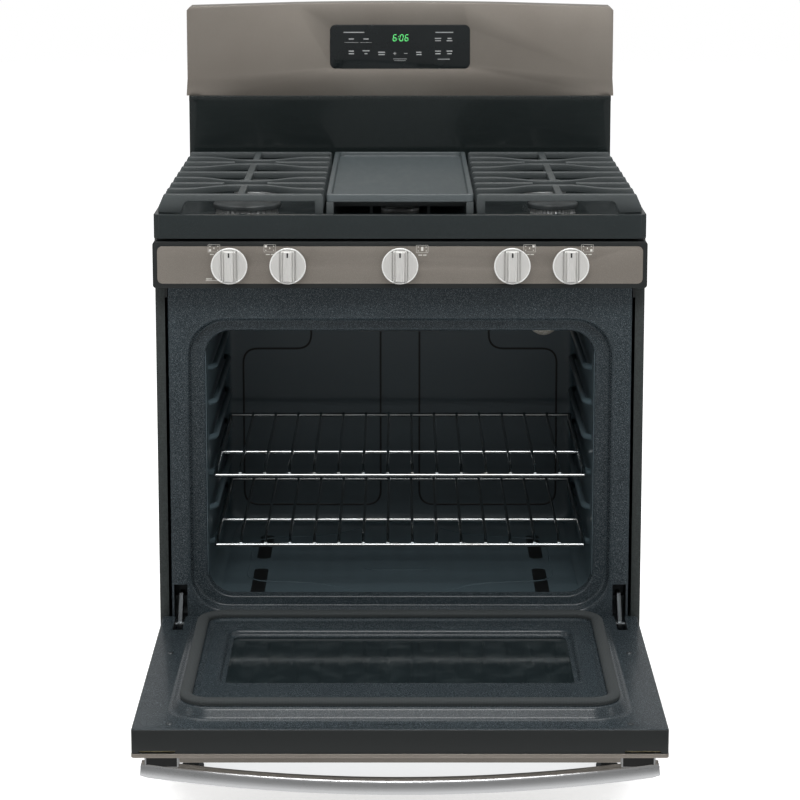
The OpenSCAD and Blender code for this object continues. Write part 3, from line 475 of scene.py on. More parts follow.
def pale_floor():
    finish = Finish("pale_floor")
    cloud = finish.noise(0.8, 2.0, 0.5)
    body = finish.blend(cloud, tint(244, 244, 244), tint(250, 250, 250))
    finish.set(
        Base_Color=body, Roughness=0.7, Emission_Color=(1.0, 1.0, 1.0), Emission_Strength=0.62,
    )
    return finish.material


MAKERS = {
    "slate": slate_enamel,
    "black": gloss_black_enamel,
    "backsplash": lambda: gloss_black_enamel("backsplash_enamel", (26, 32, 32), 0.2),
    "speckled": speckled_enamel,
    "oven_inside": lambda: gloss_black_enamel("oven_inside_enamel", (70, 84, 90), 0.3),
    "cast_iron": cast_iron,
    "burner_cap": lambda: cast_iron("burner_cap_enamel", (46, 51, 52)),
    "griddle": griddle_coating,
    "handle_steel": lambda: brushed_steel("handle_steel", "X", (214, 215, 216), 0.2),
    "knob_steel": lambda: satin_silver("knob_satin", (214, 213, 210)),
    # A brighter copy of the knob finish for the rims: a painted highlight.
    "knob_rim": lambda: satin_silver("knob_rim", (246, 246, 244)),
    "chrome": chrome_wire,
    "zinc": galvanised_sheet,
    "side_paint": textured_paint,
    "console_glass": lambda: dark_glass("console_glass_black", (24, 28, 29)),
    "outer_glass": lambda: dark_glass("outer_window_glass", (14, 17, 18)),
    "oven_glass": oven_glass,
    "gasket": woven_gasket,
    "wool": mineral_wool,
    "board": circuit_board,
    "ceramic": glazed_ceramic,
    "brass": lambda: cast_metal("brass", (196, 158, 92), 0.3),
    "alloy": lambda: cast_metal("burner_alloy", (214, 216, 216)),
    "steel_tube": lambda: cast_metal("steel_tube", (150, 153, 154), 0.34),
    "trim": satin_black,
    "hinge_steel": lambda: cast_metal("hinge_steel", (84, 88, 90), 0.36),
    # Near-black finish for small black trim and marks, and for the slabs and strips that paint shade.
    "trim_dark": lambda: satin_black("black_trim_and_painted_shade", (5, 6, 6)),
    "lit": lit_segment,
    "ink": lambda: printed_ink("printed_ink", (176, 178, 178)),
    "ink_pale": lambda: printed_ink("printed_ink_pale", (214, 212, 206)),
    "floor": pale_floor,
}
_made = {}


def finish_of(key):
    """The material of that key, made once."""
    if key not in _made:
        _made[key] = MAKERS[key]()
    return _made[key]


# ---- Mesh tools ----


def link(name, data):
    """A new object in the scene that carries a mesh, a light or a lens."""
    thing = bpy.data.objects.new(name, data)
    bpy.context.scene.collection.objects.link(thing)
    return thing


def dress(mesh, key, sharp=35.0):
    """Gives a mesh its finish, smooth shading and sharp creases."""
    mesh.materials.clear()
    mesh.materials.append(finish_of(key))
    mesh.shade_smooth()
    mesh.set_sharp_from_angle(angle=math.radians(sharp))


def clean_mesh(name, points, faces):
    """A mesh with its double points merged and its faces turned outward."""
    mesh = bpy.data.meshes.new(name)
    mesh.from_pydata([tuple(point) for point in points], [], faces)
    work = bmesh.new()
    work.from_mesh(mesh)
    bmesh.ops.remove_doubles(work, verts=work.verts, dist=MERGE)
    bmesh.ops.dissolve_degenerate(work, dist=MERGE / 2, edges=work.edges)
    bmesh.ops.recalc_face_normals(work, faces=work.faces)
    work.to_mesh(mesh)
    work.free()
    return mesh


def piece(name, points, faces, key, body, place=None, sharp=35.0):
    """A mesh piece in its final place, riding on a body."""
    mesh = clean_mesh(name, points, faces)
    if place:
        mesh.transform(place)
    dress(mesh, key, sharp)
    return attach(link(name, mesh), body)


def bake_modifiers(thing):
    """Turns what the modifiers make into the piece's own mesh."""
    graph = bpy.context.evaluated_depsgraph_get()
    mesh = bpy.data.meshes.new_from_object(thing.evaluated_get(graph))
    thing.modifiers.clear()
    thing.data = mesh
    return thing


def thicken(thing, thickness):
    """Gives a sheet its thickness, behind the face that shows."""
    solid = thing.modifiers.new("thickness", "SOLIDIFY")
    solid.thickness = thickness
    solid.offset = -1.0
    return bake_modifiers(thing)


def eased(node, key, width_mm, segments=3):
    """A CAD node's shape with its loose triangles joined and its edges rounded."""
    mesh = NODES[node].data.copy()
    work = bmesh.new()
    work.from_mesh(mesh)
    bmesh.ops.remove_doubles(work, verts=work.verts, dist=0.01 * MM)
    bmesh.ops.dissolve_limit(
        work, angle_limit=math.radians(0.6), verts=work.verts, edges=work.edges, delimit=set()
    )
    work.to_mesh(mesh)
    work.free()
    thing = link(node + "_eased", mesh)
    bevel = thing.modifiers.new("ease", "BEVEL")
    bevel.width = width_mm * MM
    bevel.segments = segments
    bevel.limit_method = "ANGLE"
    bevel.angle_limit = math.radians(CREASE)
    bevel.harden_normals = False
    bake_modifiers(thing)
    dress(thing.data, key)
    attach(thing, BODY_OF[node])
    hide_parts(node)


def cut_boxes(thing, boxes):
    """Cuts axis-aligned boxes, given as pairs of corners, out of a piece."""
    cutter = bmesh.new()
    for low, high in boxes:
        low, high = Vector(low), Vector(high)
        made = bmesh.ops.create_cube(cutter, size=1.0)["verts"]
        for vertex in made:
            for axis in range(3):
                middle = (low[axis] + high[axis]) / 2
                vertex.co[axis] = middle + vertex.co[axis] * (high[axis] - low[axis])
    mesh = bpy.data.meshes.new("cutter")
    cutter.to_mesh(mesh)
    cutter.free()
    tool = link("cutter", mesh)
    cut = thing.modifiers.new("cut", "BOOLEAN")
    cut.operation = "DIFFERENCE"
    cut.object = tool
    cut.solver = "MANIFOLD"
    bake_modifiers(thing)
    bpy.data.objects.remove(tool)
    return thing


def ring(outline, y, steps=10):
    """Points of a rounded rectangle in X and Z at depth y: (half width, low, high, radius)."""
    half, low, high, radius = outline
    corners = (
        (half - radius, high - radius, 0),
        (-half + radius, high - radius, 90),
        (-half + radius, low + radius, 180),
        (half - radius, low + radius, 270),
    )
    points = []
    for x, z, start in corners:
        for step in range(steps + 1):
            angle = math.radians(start + 90 * step / steps)
            points.append(Vector((x + radius * math.cos(angle), y, z + radius * math.sin(angle))))
    return points


def grown(outline, by):
    half, low, high, radius = outline
    return (half + by, low - by, high + by, max(radius + by, 0.0005))


def mixed(first, second, share):
    return tuple(a + (b - a) * share for a, b in zip(first, second))


def loft(rings, first_cap=False, last_cap=False):
    """Faces between rings of points of equal count."""
    count = len(rings[0])
    points = [point for loop in rings for point in loop]
    faces = []
    for row in range(len(rings) - 1):
        for k in range(count):
            a, b = row * count + k, row * count + (k + 1) % count
            faces.append((a, b, b + count, a + count))
    if first_cap:
        faces.append(tuple(range(count)))
    if last_cap:
        start = (len(rings) - 1) * count
        faces.append(tuple(range(start, start + count)))
    return points, faces


def closed_loft(rings):
    """Faces between rings, with the first and last ring filled."""
    return loft(rings, True, True)


def rounded_path(path, radius, steps=5):
    """A 2D path whose inner corners are arcs."""
    out = [Vector(path[0])]
    for before, corner, after in zip(path, path[1:], path[2:]):
        corner = Vector(corner)
        back, ahead = Vector(before) - corner, Vector(after) - corner
        cut = min(radius, back.length * 0.45, ahead.length * 0.45)
        start, end = corner + back.normalized() * cut, corner + ahead.normalized() * cut
        for step in range(steps + 1):
            t = step / steps
            out.append(start.lerp(corner, t).lerp(corner.lerp(end, t), t))
    out.append(Vector(path[-1]))
    return out


def turned(profile, steps=48):
    """Rings of a lathe shape about Z, from (radius, height) points."""
    rings = []
    for radius, height in profile:
        loop = []
        for k in range(steps):
            angle = 2 * math.pi * k / steps
            loop.append(Vector((radius * math.cos(angle), radius * math.sin(angle), height)))
        rings.append(loop)
    return rings


def slab(low, high, ease=0.0008, steps=3):
    """Rings of a block with rounded upright edges and eased faces."""
    low, high = Vector(low), Vector(high)
    middle = (low + high) / 2
    size = (high - low) / 2
    ease = min(ease, *[half * 0.6 for half in size])
    rings = []
    for inset, z in ((ease, low.z), (0, low.z + ease), (0, high.z - ease), (ease, high.z)):
        outline = (size.x - inset, -size.y + inset, size.y - inset, ease * 0.9)
        loop = ring(outline, 0.0, steps)
        rings.append([Vector((p.x + middle.x, p.z + middle.y, z)) for p in loop])
    return rings


def joined(parts):
    """Several (points, faces) shapes as one."""
    points, faces = [], []
    for some_points, some_faces in parts:
        start = len(points)
        points += list(some_points)
        faces += [tuple(index + start for index in face) for face in some_faces]
    return points, faces


def both_sides(x, y, z):
    """The same box on the left and on the right, from (low, high) pairs in X, Y and Z."""
    boxes = []
    for side in SIDES:
        near, far = sorted((side * x[0], side * x[1]))
        boxes.append(((near, y[0], z[0]), (far, y[1], z[1])))
    return boxes


def slabs(boxes, ease=0.0008):
    return joined([closed_loft(slab(low, high, ease)) for low, high in boxes])


# ---- Geometry Nodes ----


class Tree:
    """Builds one Geometry Nodes group with named inputs."""

    def __init__(self, name):
        self.group = bpy.data.node_groups.new(name, "GeometryNodeTree")
        for way in ("INPUT", "OUTPUT"):
            self.group.interface.new_socket(
                "Geometry", in_out=way, socket_type="NodeSocketGeometry"
            )
        self.start = self.group.nodes.new("NodeGroupInput")
        self.end = self.group.nodes.new("NodeGroupOutput")
        self.ids = {}

    def input(self, name, kind, default):
        socket = self.group.interface.new_socket(name, in_out="INPUT", socket_type=kind)
        socket.default_value = default
        self.ids[name] = socket.identifier
        return self.start.outputs[name]

    def node(self, kind, settings=None, inputs=None):
        node = self.group.nodes.new(kind)
        for key, setting in (settings or {}).items():
            setattr(node, key, setting)
        for key, value in (inputs or {}).items():
            if isinstance(value, bpy.types.NodeSocket):
                self.group.links.new(value, node.inputs[key])
            else:
                node.inputs[key].default_value = value
        return node

    def close(self, geometry, material):
        real = self.node("GeometryNodeRealizeInstances", {}, {0: geometry})
        dressed = self.node(
            "GeometryNodeSetMaterial", {}, {"Geometry": real.outputs[0], "Material": material}
        )
        self.group.links.new(dressed.outputs[0], self.end.inputs[0])


def run_tree(tree, thing, **values):
    """Sets the tree's inputs on a modifier and makes the result a plain mesh."""
    modifier = thing.modifiers.new("shape", "NODES")
    modifier.node_group = tree.group
    for name, value in values.items():
        modifier[tree.ids[name]] = value
    return bake_modifiers(thing)


def wire_tree(key):
    """Round wire along every edge of the carrier mesh."""
    tree = Tree("wire_" + key)
    radius = tree.input("Radius", "NodeSocketFloat", 0.002)
    sides = tree.input("Sides", "NodeSocketInt", 10)
    curve = tree.node("GeometryNodeMeshToCurve", {}, {"Mesh": tree.start.outputs[0]})
    circle = tree.node(
        "GeometryNodeCurvePrimitiveCircle",
        {"mode": "RADIUS"},
        {"Resolution": sides, "Radius": radius},
    )
    tube = tree.node(
        "GeometryNodeCurveToMesh",
        {},
        {"Curve": curve.outputs[0], "Profile Curve": circle.outputs[0], "Fill Caps": True},
    )
    tree.close(tube.outputs[0], finish_of(key))
    return tree


def wires(name, paths, diameter, key, body, sides=10):
    """One piece of round wire along several open paths."""
    points, edges = [], []
    for path in paths:
        start = len(points)
        points += [tuple(point) for point in path]
        edges += [(start + k, start + k + 1) for k in range(len(path) - 1)]
    mesh = bpy.data.meshes.new(name)
    mesh.from_pydata(points, edges, [])
    thing = link(name, mesh)
    run_tree(wire_tree(key), thing, Radius=diameter / 2, Sides=sides)
    dress(thing.data, key, 60.0)
    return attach(thing, body)


def stamped(name, spots, stamp, key, body):
    """Copies of a stamp mesh at (point, direction) spots."""
    points, faces = [], []
    for point, direction in spots:
        side = Vector(direction).orthogonal().normalized() * 0.0001
        across = Vector(direction).normalized().cross(side)
        start = len(points)
        point = Vector(point)
        points += [point, point + side, point + across]
        faces.append((start, start + 1, start + 2))
    mesh = bpy.data.meshes.new(name)
    mesh.from_pydata([tuple(p) for p in points], [], faces)
    carrier = link(name, mesh)
    tree = Tree("stamps_" + name)
    source = tree.node("GeometryNodeObjectInfo", {}, {"Object": stamp})
    spots_node = tree.node(
        "GeometryNodeMeshToPoints", {"mode": "FACES"}, {"Mesh": tree.start.outputs[0]}
    )
    normal = tree.node("GeometryNodeInputNormal")
    keep = tree.node(
        "GeometryNodeCaptureAttribute", {"domain": "FACE"}, {"Geometry": tree.start.outputs[0]}
    )
    keep.capture_items.new("VECTOR", "facing")
    tree.group.links.new(normal.outputs[0], keep.inputs["facing"])
    tree.group.links.new(keep.outputs["Geometry"], spots_node.inputs["Mesh"])
    turn = tree.node(
        "FunctionNodeAlignRotationToVector", {"axis": "Z"}, {"Vector": keep.outputs["facing"]}
    )
    copies = tree.node(
        "GeometryNodeInstanceOnPoints",
        {},
        {
            "Points": spots_node.outputs[0],
            "Instance": source.outputs["Geometry"],
            "Rotation": turn.outputs[0],
        },
    )
    tree.close(copies.outputs[0], finish_of(key))
    run_tree(tree, carrier)
    dress(carrier.data, key, CREASE)
    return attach(carrier, body)


def screw_stamp(diameter, rise=0.0018):
    """Head of a screw: a low dome with a sunk middle, the source of repeated copies."""
    r = diameter / 2
    dome = [(0.0004, rise * 0.45), (r * 0.42, rise * 0.55), (r * 0.48, rise), (r * 0.7, rise * 0.9),
            (r * 0.92, rise * 0.55), (r, rise * 0.1), (r, -0.0004)]
    return link("screw_stamp", clean_mesh("screw_stamp", *closed_loft(turned(dome, 20))))


# ---- Sizes read from the frame ----

CABINET = "cabinet"
FRAME_LOW, FRAME_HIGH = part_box("oven_front_frame")
FRONT_Y = FRAME_LOW.y
LINER_LOW, LINER_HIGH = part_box("oven_liner")
FLOOR_LOW, FLOOR_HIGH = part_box("oven_floor_panel")
GASKET_LOW, GASKET_HIGH = local_box("door_gasket", DOOR)
DOOR_LINER_LOW, DOOR_LINER_HIGH = local_box("door_liner", DOOR)
SKIN_LOW, SKIN_HIGH = local_box("door_outer_panel", DOOR)
PANE_LOW, PANE_HIGH = local_box("door_inner_glass", DOOR)
HANDLE_LOW, HANDLE_HIGH = local_box("door_handle", DOOR)
FLANGE_Y = DOOR_LINER_HIGH.y - 16 * MM
SHEET = 1.5 * MM
PRESSED_SHEET = 1.2 * MM
CAVITY_HALF = LINER_HIGH.x - SHEET
CAVITY_TOP = LINER_HIGH.z - SHEET
CAVITY_BACK = LINER_HIGH.y - SHEET
FLOOR_Z = FLOOR_LOW.z
LEDGE_Y = FRONT_Y + 20 * MM
KNOBS = [f"knob_{number}" for number in range(1, 6)]
RIVET_HEIGHTS = (60, 180, 300, 420, 500)
GUIDE_LOW, GUIDE_STEP, GUIDE_COUNT = 84, 57, 6
SLOT_X, SLOT_HALF, SLOT_LENGTH = 228.5 * MM, 12 * MM, 159 * MM
DIGIT_WIDTH, DIGIT_HEIGHT, DIGIT_PITCH, DIGIT_LEAN = 5.2, 10.5, 9.0, 0.14
KNOB_STEPS = 72


class RangeSizes(bpy.types.PropertyGroup):
    """Sizes of the details that are added around the frame."""

    edge_ease: bpy.props.FloatProperty(
        name="Edge rounding", description="Rounding of folded sheet edges",
        default=1.6 * MM, unit="LENGTH",
    )
    cast_ease: bpy.props.FloatProperty(
        name="Casting rounding", description="Rounding of the cast grate edges",
        default=2.6 * MM, unit="LENGTH",
    )
    press_radius: bpy.props.FloatProperty(
        name="Press radius", description="Radius of the folds in pressed enamel sheet",
        default=4.5 * MM, unit="LENGTH",
    )
    # Width of the near-black strips that paint the shade in the back wall's grooves.
    groove_shade_width: bpy.props.FloatProperty(
        name="Rib width", description="Width of the ribs pressed in the oven walls",
        default=5.4 * MM, unit="LENGTH",
    )
    guide_width: bpy.props.FloatProperty(
        name="Guide width", description="Width of the rack guides in the oven walls",
        default=10.0 * MM, unit="LENGTH",
    )
    screw_width: bpy.props.FloatProperty(
        name="Screw head", description="Width of the screw heads", default=9.0 * MM, unit="LENGTH"
    )
    rail_width: bpy.props.FloatProperty(
        name="Rack rail", description="Diameter of the rails of a rack",
        default=6.4 * MM, unit="LENGTH",
    )
    wire_width: bpy.props.FloatProperty(
        name="Rack wire", description="Diameter of the long wires of a rack",
        default=4.6 * MM, unit="LENGTH",
    )
    rack_wires: bpy.props.IntProperty(
        name="Rack wires", description="Number of long wires in a rack", default=14, min=4, max=24
    )


class RangeLook(bpy.types.PropertyGroup):
    """Light and view."""

    lens: bpy.props.FloatProperty(
        name="Lens", description="Focal length of the camera in millimetres", default=123.9
    )
    light: bpy.props.FloatProperty(
        name="Light", description="Strength of the studio lights", default=1.0, min=0.0
    )
    clock: bpy.props.StringProperty(
        name="Clock", description="Digits that the clock shows", default="6:06"
    )


def sizes():
    return bpy.context.scene.range_sizes


# ---- Stage ----

FLOOR_REACH = 14.0
LIT_POINT = (0.0, 0.0, 0.7)
# Each light: place, width, height and power in watts.
LIGHTS = {
    "key_light": ((0.0, -3.0, 3.8), 2.2, 1.4, 105),
    "top_light": ((0.0, 0.6, 4.0), 3.2, 1.6, 60),
    "left_light": ((-3.2, -1.4, 1.5), 0.9, 2.4, 9),
    "right_light": ((3.2, -1.4, 1.5), 0.9, 2.4, 9),
}
CAMERA_DISTANCE = 4.212
CAMERA_HEIGHT = 1.487
CAMERA_TILT = 9.998
CAMERA_SHIFT = -0.1
SENSOR_WIDTH = 36.0
VIEW_REACH = 60.0


def soft_light(name, place, target, width, height, power):
    lamp = bpy.data.lights.new(name, "AREA")
    lamp.shape = "RECTANGLE"
    lamp.size, lamp.size_y = width, height
    lamp.energy = power * bpy.context.scene.range_look.light
    thing = link(name, lamp)
    thing.location = place
    thing.rotation_euler = (Vector(target) - Vector(place)).to_track_quat("-Z", "Y").to_euler()


def studio_world():
    """A dim room, much brighter below and lighter above, with a white backdrop in view."""
    world = bpy.data.worlds.new("studio")
    world.use_nodes = True
    nodes, links = world.node_tree.nodes, world.node_tree.links
    room = nodes["Background"]
    room.inputs[1].default_value = 1.0
    place = nodes.new("ShaderNodeTexCoord")
    split = nodes.new("ShaderNodeSeparateXYZ")
    links.new(place.outputs["Generated"], split.inputs[0])
    height = nodes.new("ShaderNodeMapRange")
    height.inputs["From Min"].default_value = -1.0
    links.new(split.outputs["Z"], height.inputs["Value"])
    rise = nodes.new("ShaderNodeValToRGB")
    levels = ((0.0, 1.0), (0.2, 0.95), (0.33, 0.30), (0.5, 0.30), (1.0, 0.55))
    Finish.set_stops(rise.color_ramp, [(spot, (level,) * 3) for spot, level in levels])
    links.new(height.outputs[0], rise.inputs[0])
    links.new(rise.outputs[0], room.inputs[0])
    backdrop = nodes.new("ShaderNodeBackground")
    backdrop.inputs[0].default_value = (1.0, 1.0, 1.0, 1.0)
    seen = nodes.new("ShaderNodeLightPath")
    mix = nodes.new("ShaderNodeMixShader")
    links.new(seen.outputs["Is Camera Ray"], mix.inputs[0])
    links.new(room.outputs[0], mix.inputs[1])
    links.new(backdrop.outputs[0], mix.inputs[2])
    links.new(mix.outputs[0], nodes["World Output"].inputs[0])
    return world


def build_stage():
    """Floor, studio light and camera."""
    mesh = bpy.data.meshes.new("floor")
    reach = FLOOR_REACH
    mesh.from_pydata(
        [(-reach, -reach, 0), (reach, -reach, 0), (reach, reach, 0), (-reach, reach, 0)],
        [], [(0, 1, 2, 3)],
    )
    mesh.materials.append(finish_of("floor"))
    floor = link("floor", mesh)
    floor.visible_glossy = False

    bpy.context.scene.world = studio_world()
    for name, (place, width, height, power) in LIGHTS.items():
        soft_light(name, place, LIT_POINT, width, height, power)

    look = bpy.context.scene.range_look
    lens = bpy.data.cameras.new("camera")
    lens.lens = look.lens
    lens.sensor_width = SENSOR_WIDTH
    lens.shift_y = CAMERA_SHIFT
    lens.clip_end = VIEW_REACH
    camera = link("camera", lens)
    camera.location = (0.0, FRONT_Y - CAMERA_DISTANCE, CAMERA_HEIGHT)
    camera.rotation_euler = (math.radians(90.0 - CAMERA_TILT), 0.0, 0.0)
    bpy.context.scene.camera = camera
    bpy.context.scene.view_settings.view_transform = "Standard"


# ---- Cabinet ----


def outline_at(outlines, half):
    """The outline between the given ones whose half width is the one asked for."""
    for first, second in zip(outlines, outlines[1:]):
        if second[0] <= half <= first[0]:
            return mixed(first, second, (first[0] - half) / (first[0] - second[0]))
    return outlines[-1] if half < outlines[-1][0] else outlines[0]


def pressed(outlines, profile, radius, steps=12):
    """Rings of a pressed sheet. The profile is (half width, depth) from the outside in."""
    path = rounded_path(profile, radius)
    return [ring(outline_at(outlines, point[0]), point[1], steps) for point in path]


def face_towards(thing, aim):
    """Turns an open sheet's faces to the side that aim(face centre) points to."""
    total = sum(face.normal.dot(aim(face.center)) * face.area for face in thing.data.polygons)
    if total < 0:
        thing.data.flip_normals()
    return thing


def build_front_frame():
    """Pressed front of the oven with the gasket ledge, and the hinge slots in it."""
    fold = sizes().press_radius
    mouth = (CAVITY_HALF + 0.5 * MM, FLOOR_Z + 7 * MM, CAVITY_TOP - 11.5 * MM, 41 * MM)
    recess = (mouth[0] + 23.5 * MM, mouth[1] - 18 * MM, mouth[2] + 19.5 * MM, 56 * MM)
    outer = (FRAME_HIGH.x - 4 * MM, FRAME_LOW.z, FRAME_HIGH.z, 2 * MM)
    throat = (mouth[0] - 1 * MM, mouth[1] + 1 * MM, mouth[2] - 1 * MM, 40 * MM)
    profile = [
        (outer[0], FRONT_Y + 20 * MM), (outer[0] - 0.05 * MM, FRONT_Y),
        (recess[0] + 2 * MM, FRONT_Y), (recess[0] - 1 * MM, LEDGE_Y),
        (mouth[0] + 1 * MM, LEDGE_Y), (throat[0], LEDGE_Y + 16 * MM),
    ]
    wide = grown(recess, 2 * MM)
    rings = pressed([outer, wide, recess, mouth, throat], profile, fold)
    thing = piece("front_frame_pressing", *loft(rings), "speckled", CABINET, None, CREASE)
    face_towards(thing, lambda centre: Vector((0, -1, 0)))
    thicken(thing, PRESSED_SHEET)
    slot_x, slot_half = 346.5 * MM, 10.5 * MM
    slots = both_sides(
        (slot_x - slot_half, slot_x + slot_half),
        (FRONT_Y - 5 * MM, FRONT_Y + 6 * MM),
        (262 * MM, 320 * MM),
    )
    cut_boxes(thing, slots)
    dress(thing.data, "speckled", CREASE)
    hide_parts("oven_front_frame")
    spacers = both_sides(
        (outer[0], FRAME_HIGH.x), (FRONT_Y, FRONT_Y + SHEET), (outer[2] - 20 * MM, outer[2])
    )
    piece("frame_spacers", *slabs(spacers, 0.3 * MM), "trim", CABINET)


def build_cavity():
    """Pressed oven box with rounded inner edges, near-black strips of painted shade for the back wall's
    grooves, and rack guides.
    """
    start = LEDGE_Y + 4 * MM
    outline = (CAVITY_HALF, FLOOR_Z - 0.4 * MM, CAVITY_TOP, 22 * MM)
    inner = (CAVITY_HALF - 40 * MM, FLOOR_Z + 40 * MM, CAVITY_TOP - 40 * MM, 6 * MM)
    profile = [(outline[0], start), (outline[0] - 0.01 * MM, CAVITY_BACK), (inner[0], CAVITY_BACK)]
    rings = pressed([outline, inner], profile, 22 * MM, 10)
    thing = piece("oven_cavity", *loft(rings, last_cap=True), "oven_inside", CABINET, None, CREASE)
    heart = Vector((0, (start + CAVITY_BACK) / 2, (FLOOR_Z + CAVITY_TOP) / 2))
    face_towards(thing, lambda centre: heart - centre)
    thicken(thing, PRESSED_SHEET)
    dress(thing.data, "oven_inside", CREASE)
    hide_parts("oven_liner")

    # Near-black strips barely proud of the back wall: painted shade standing for its pressed grooves.
    width = sizes().groove_shade_width
    low, step, top = FLOOR_Z + 32 * MM, FLOOR_Z + 312 * MM, CAVITY_TOP - 8 * MM
    corners = [(34, top), (34, low), (274, low), (274, step), (155, step), (155, top)]
    path = rounded_path([(x * MM, z) for x, z in corners], 26 * MM, 7)
    paths = [
        [(side * x, CAVITY_BACK + width * 0.38, z) for x, z in path] for side in SIDES
    ]
    wires("back_wall_ribs", paths, width, "trim_dark", CABINET, 12)

    width = sizes().guide_width
    depth = CAVITY_HALF - 9 * MM
    front, back = LINER_LOW.y + 62 * MM, CAVITY_BACK - 48 * MM
    runs = []
    for side in SIDES:
        for level in range(GUIDE_COUNT):
            z = FLOOR_Z + (GUIDE_LOW + GUIDE_STEP * level) * MM - width / 2
            bend = [(CAVITY_HALF + 5 * MM, front - 8 * MM), (depth, front + 10 * MM),
                    (depth, back - 10 * MM), (CAVITY_HALF + 5 * MM, back + 8 * MM)]
            runs.append([(side * x, y, z) for x, y in rounded_path(bend, 12 * MM)])
    wires("rack_guides", runs, width, "oven_inside", CABINET, 12)

    swell = []
    for side in SIDES:
        outline = [(70, 60), (120, 110), (250, 130), (250, 400), (120, 420), (70, 470)]
        bent = rounded_path([(x * MM, FRONT_Y + y * MM) for x, y in outline], 40 * MM, 7)
        swell.append([(side * x, y, FLOOR_HIGH.z - 1.9 * MM) for x, y in bent])
    wires("floor_ribs", swell, 3.2 * MM, "oven_inside", CABINET)
    # Black slabs just under the floor slots: painted shadow in the slots.
    slot_shadows = []
    for side in SIDES:
        for start in (26, 243):
            y = FLOOR_LOW.y - 10 * MM + start * MM
            x = side * SLOT_X
            slot_shadows.append(((x - SLOT_HALF, y - MM, FLOOR_LOW.z + 0.2 * MM),
                            (x + SLOT_HALF, y + SLOT_LENGTH, FLOOR_LOW.z + 0.7 * MM)))
    piece("floor_slot_baffles", *slabs(slot_shadows, 0.1 * MM), "trim_dark", CABINET)


# ---- Door ----


def build_door_liner():
    """Pressed inner skin of the door: flange, plateau and window recess."""
    fold = sizes().press_radius
    flange_y = FLANGE_Y
    top_y = DOOR_LINER_HIGH.y
    flange = (DOOR_LINER_HIGH.x, DOOR_LINER_LOW.z, DOOR_LINER_HIGH.z, 3 * MM)
    seat = (GASKET_HIGH.x, GASKET_LOW.z, GASKET_HIGH.z, 44 * MM)
    base = grown(seat, 12 * MM)
    crest = grown(seat, 3 * MM)
    inside = grown(seat, -22 * MM)
    window = (PANE_HIGH.x - 10 * MM, PANE_LOW.z + 10 * MM, PANE_HIGH.z - 10 * MM, 18 * MM)
    lip = grown(window, -7 * MM)
    profile = [
        (flange[0], flange_y - 3 * MM), (flange[0] - 0.05 * MM, flange_y), (base[0], flange_y),
        (crest[0], top_y), (inside[0], top_y), (inside[0] - 3 * MM, top_y - 3 * MM),
        (window[0] + 2 * MM, top_y - 3 * MM), (window[0] - 1 * MM, top_y - 12 * MM),
        (lip[0], top_y - 12 * MM),
    ]
    outlines = [flange, base, crest, inside, grown(inside, -3 * MM), grown(window, 2 * MM), window, lip]
    rings = pressed(outlines, profile, fold)
    thing = piece("door_liner_pressing", *loft(rings), "speckled", "door", None, CREASE)
    face_towards(thing, lambda centre: Vector((0, 1, 0)))
    thicken(thing, PRESSED_SHEET)
    cuts = [((-29 * MM, 0, flange[2] - 20 * MM), (3 * MM, 20 * MM, flange[2] - 16.5 * MM))]
    hinge_x = (338.5 * MM, 354.5 * MM)
    cuts += both_sides(hinge_x, (-10 * MM, 30 * MM), (-20 * MM, 62 * MM))
    cut_boxes(thing, cuts)
    thing.data.transform(DOOR)
    dress(thing.data, "speckled", CREASE)
    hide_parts("door_liner")
    box = ((-32 * MM, 4 * MM, flange[2] - 23 * MM), (6 * MM, 8.9 * MM, flange[2] - 13 * MM))
    piece("latch_shadow", *slabs([box]), "trim_dark", "door", DOOR)


def build_gasket():
    """Bead of braided seal around the plateau."""
    r = 9 * MM
    middle = (GASKET_HIGH.x - r, GASKET_LOW.z + r, GASKET_HIGH.z - r, 35 * MM)
    base, rise = GASKET_LOW.y, GASKET_HIGH.y - GASKET_LOW.y
    section = [(r * 0.82, 0.0)]
    for k in range(13):
        angle = math.pi * k / 12
        section.append((r * math.cos(angle), rise * (0.45 + 0.55 * math.sin(angle))))
    section.append((-r * 0.82, 0.0))
    rings = [ring(grown(middle, side), base + y, 12) for side, y in section]
    rings.append(rings[0])
    thing = piece("door_seal", *loft(rings), "gasket", "door", DOOR, 50.0)
    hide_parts("door_gasket")


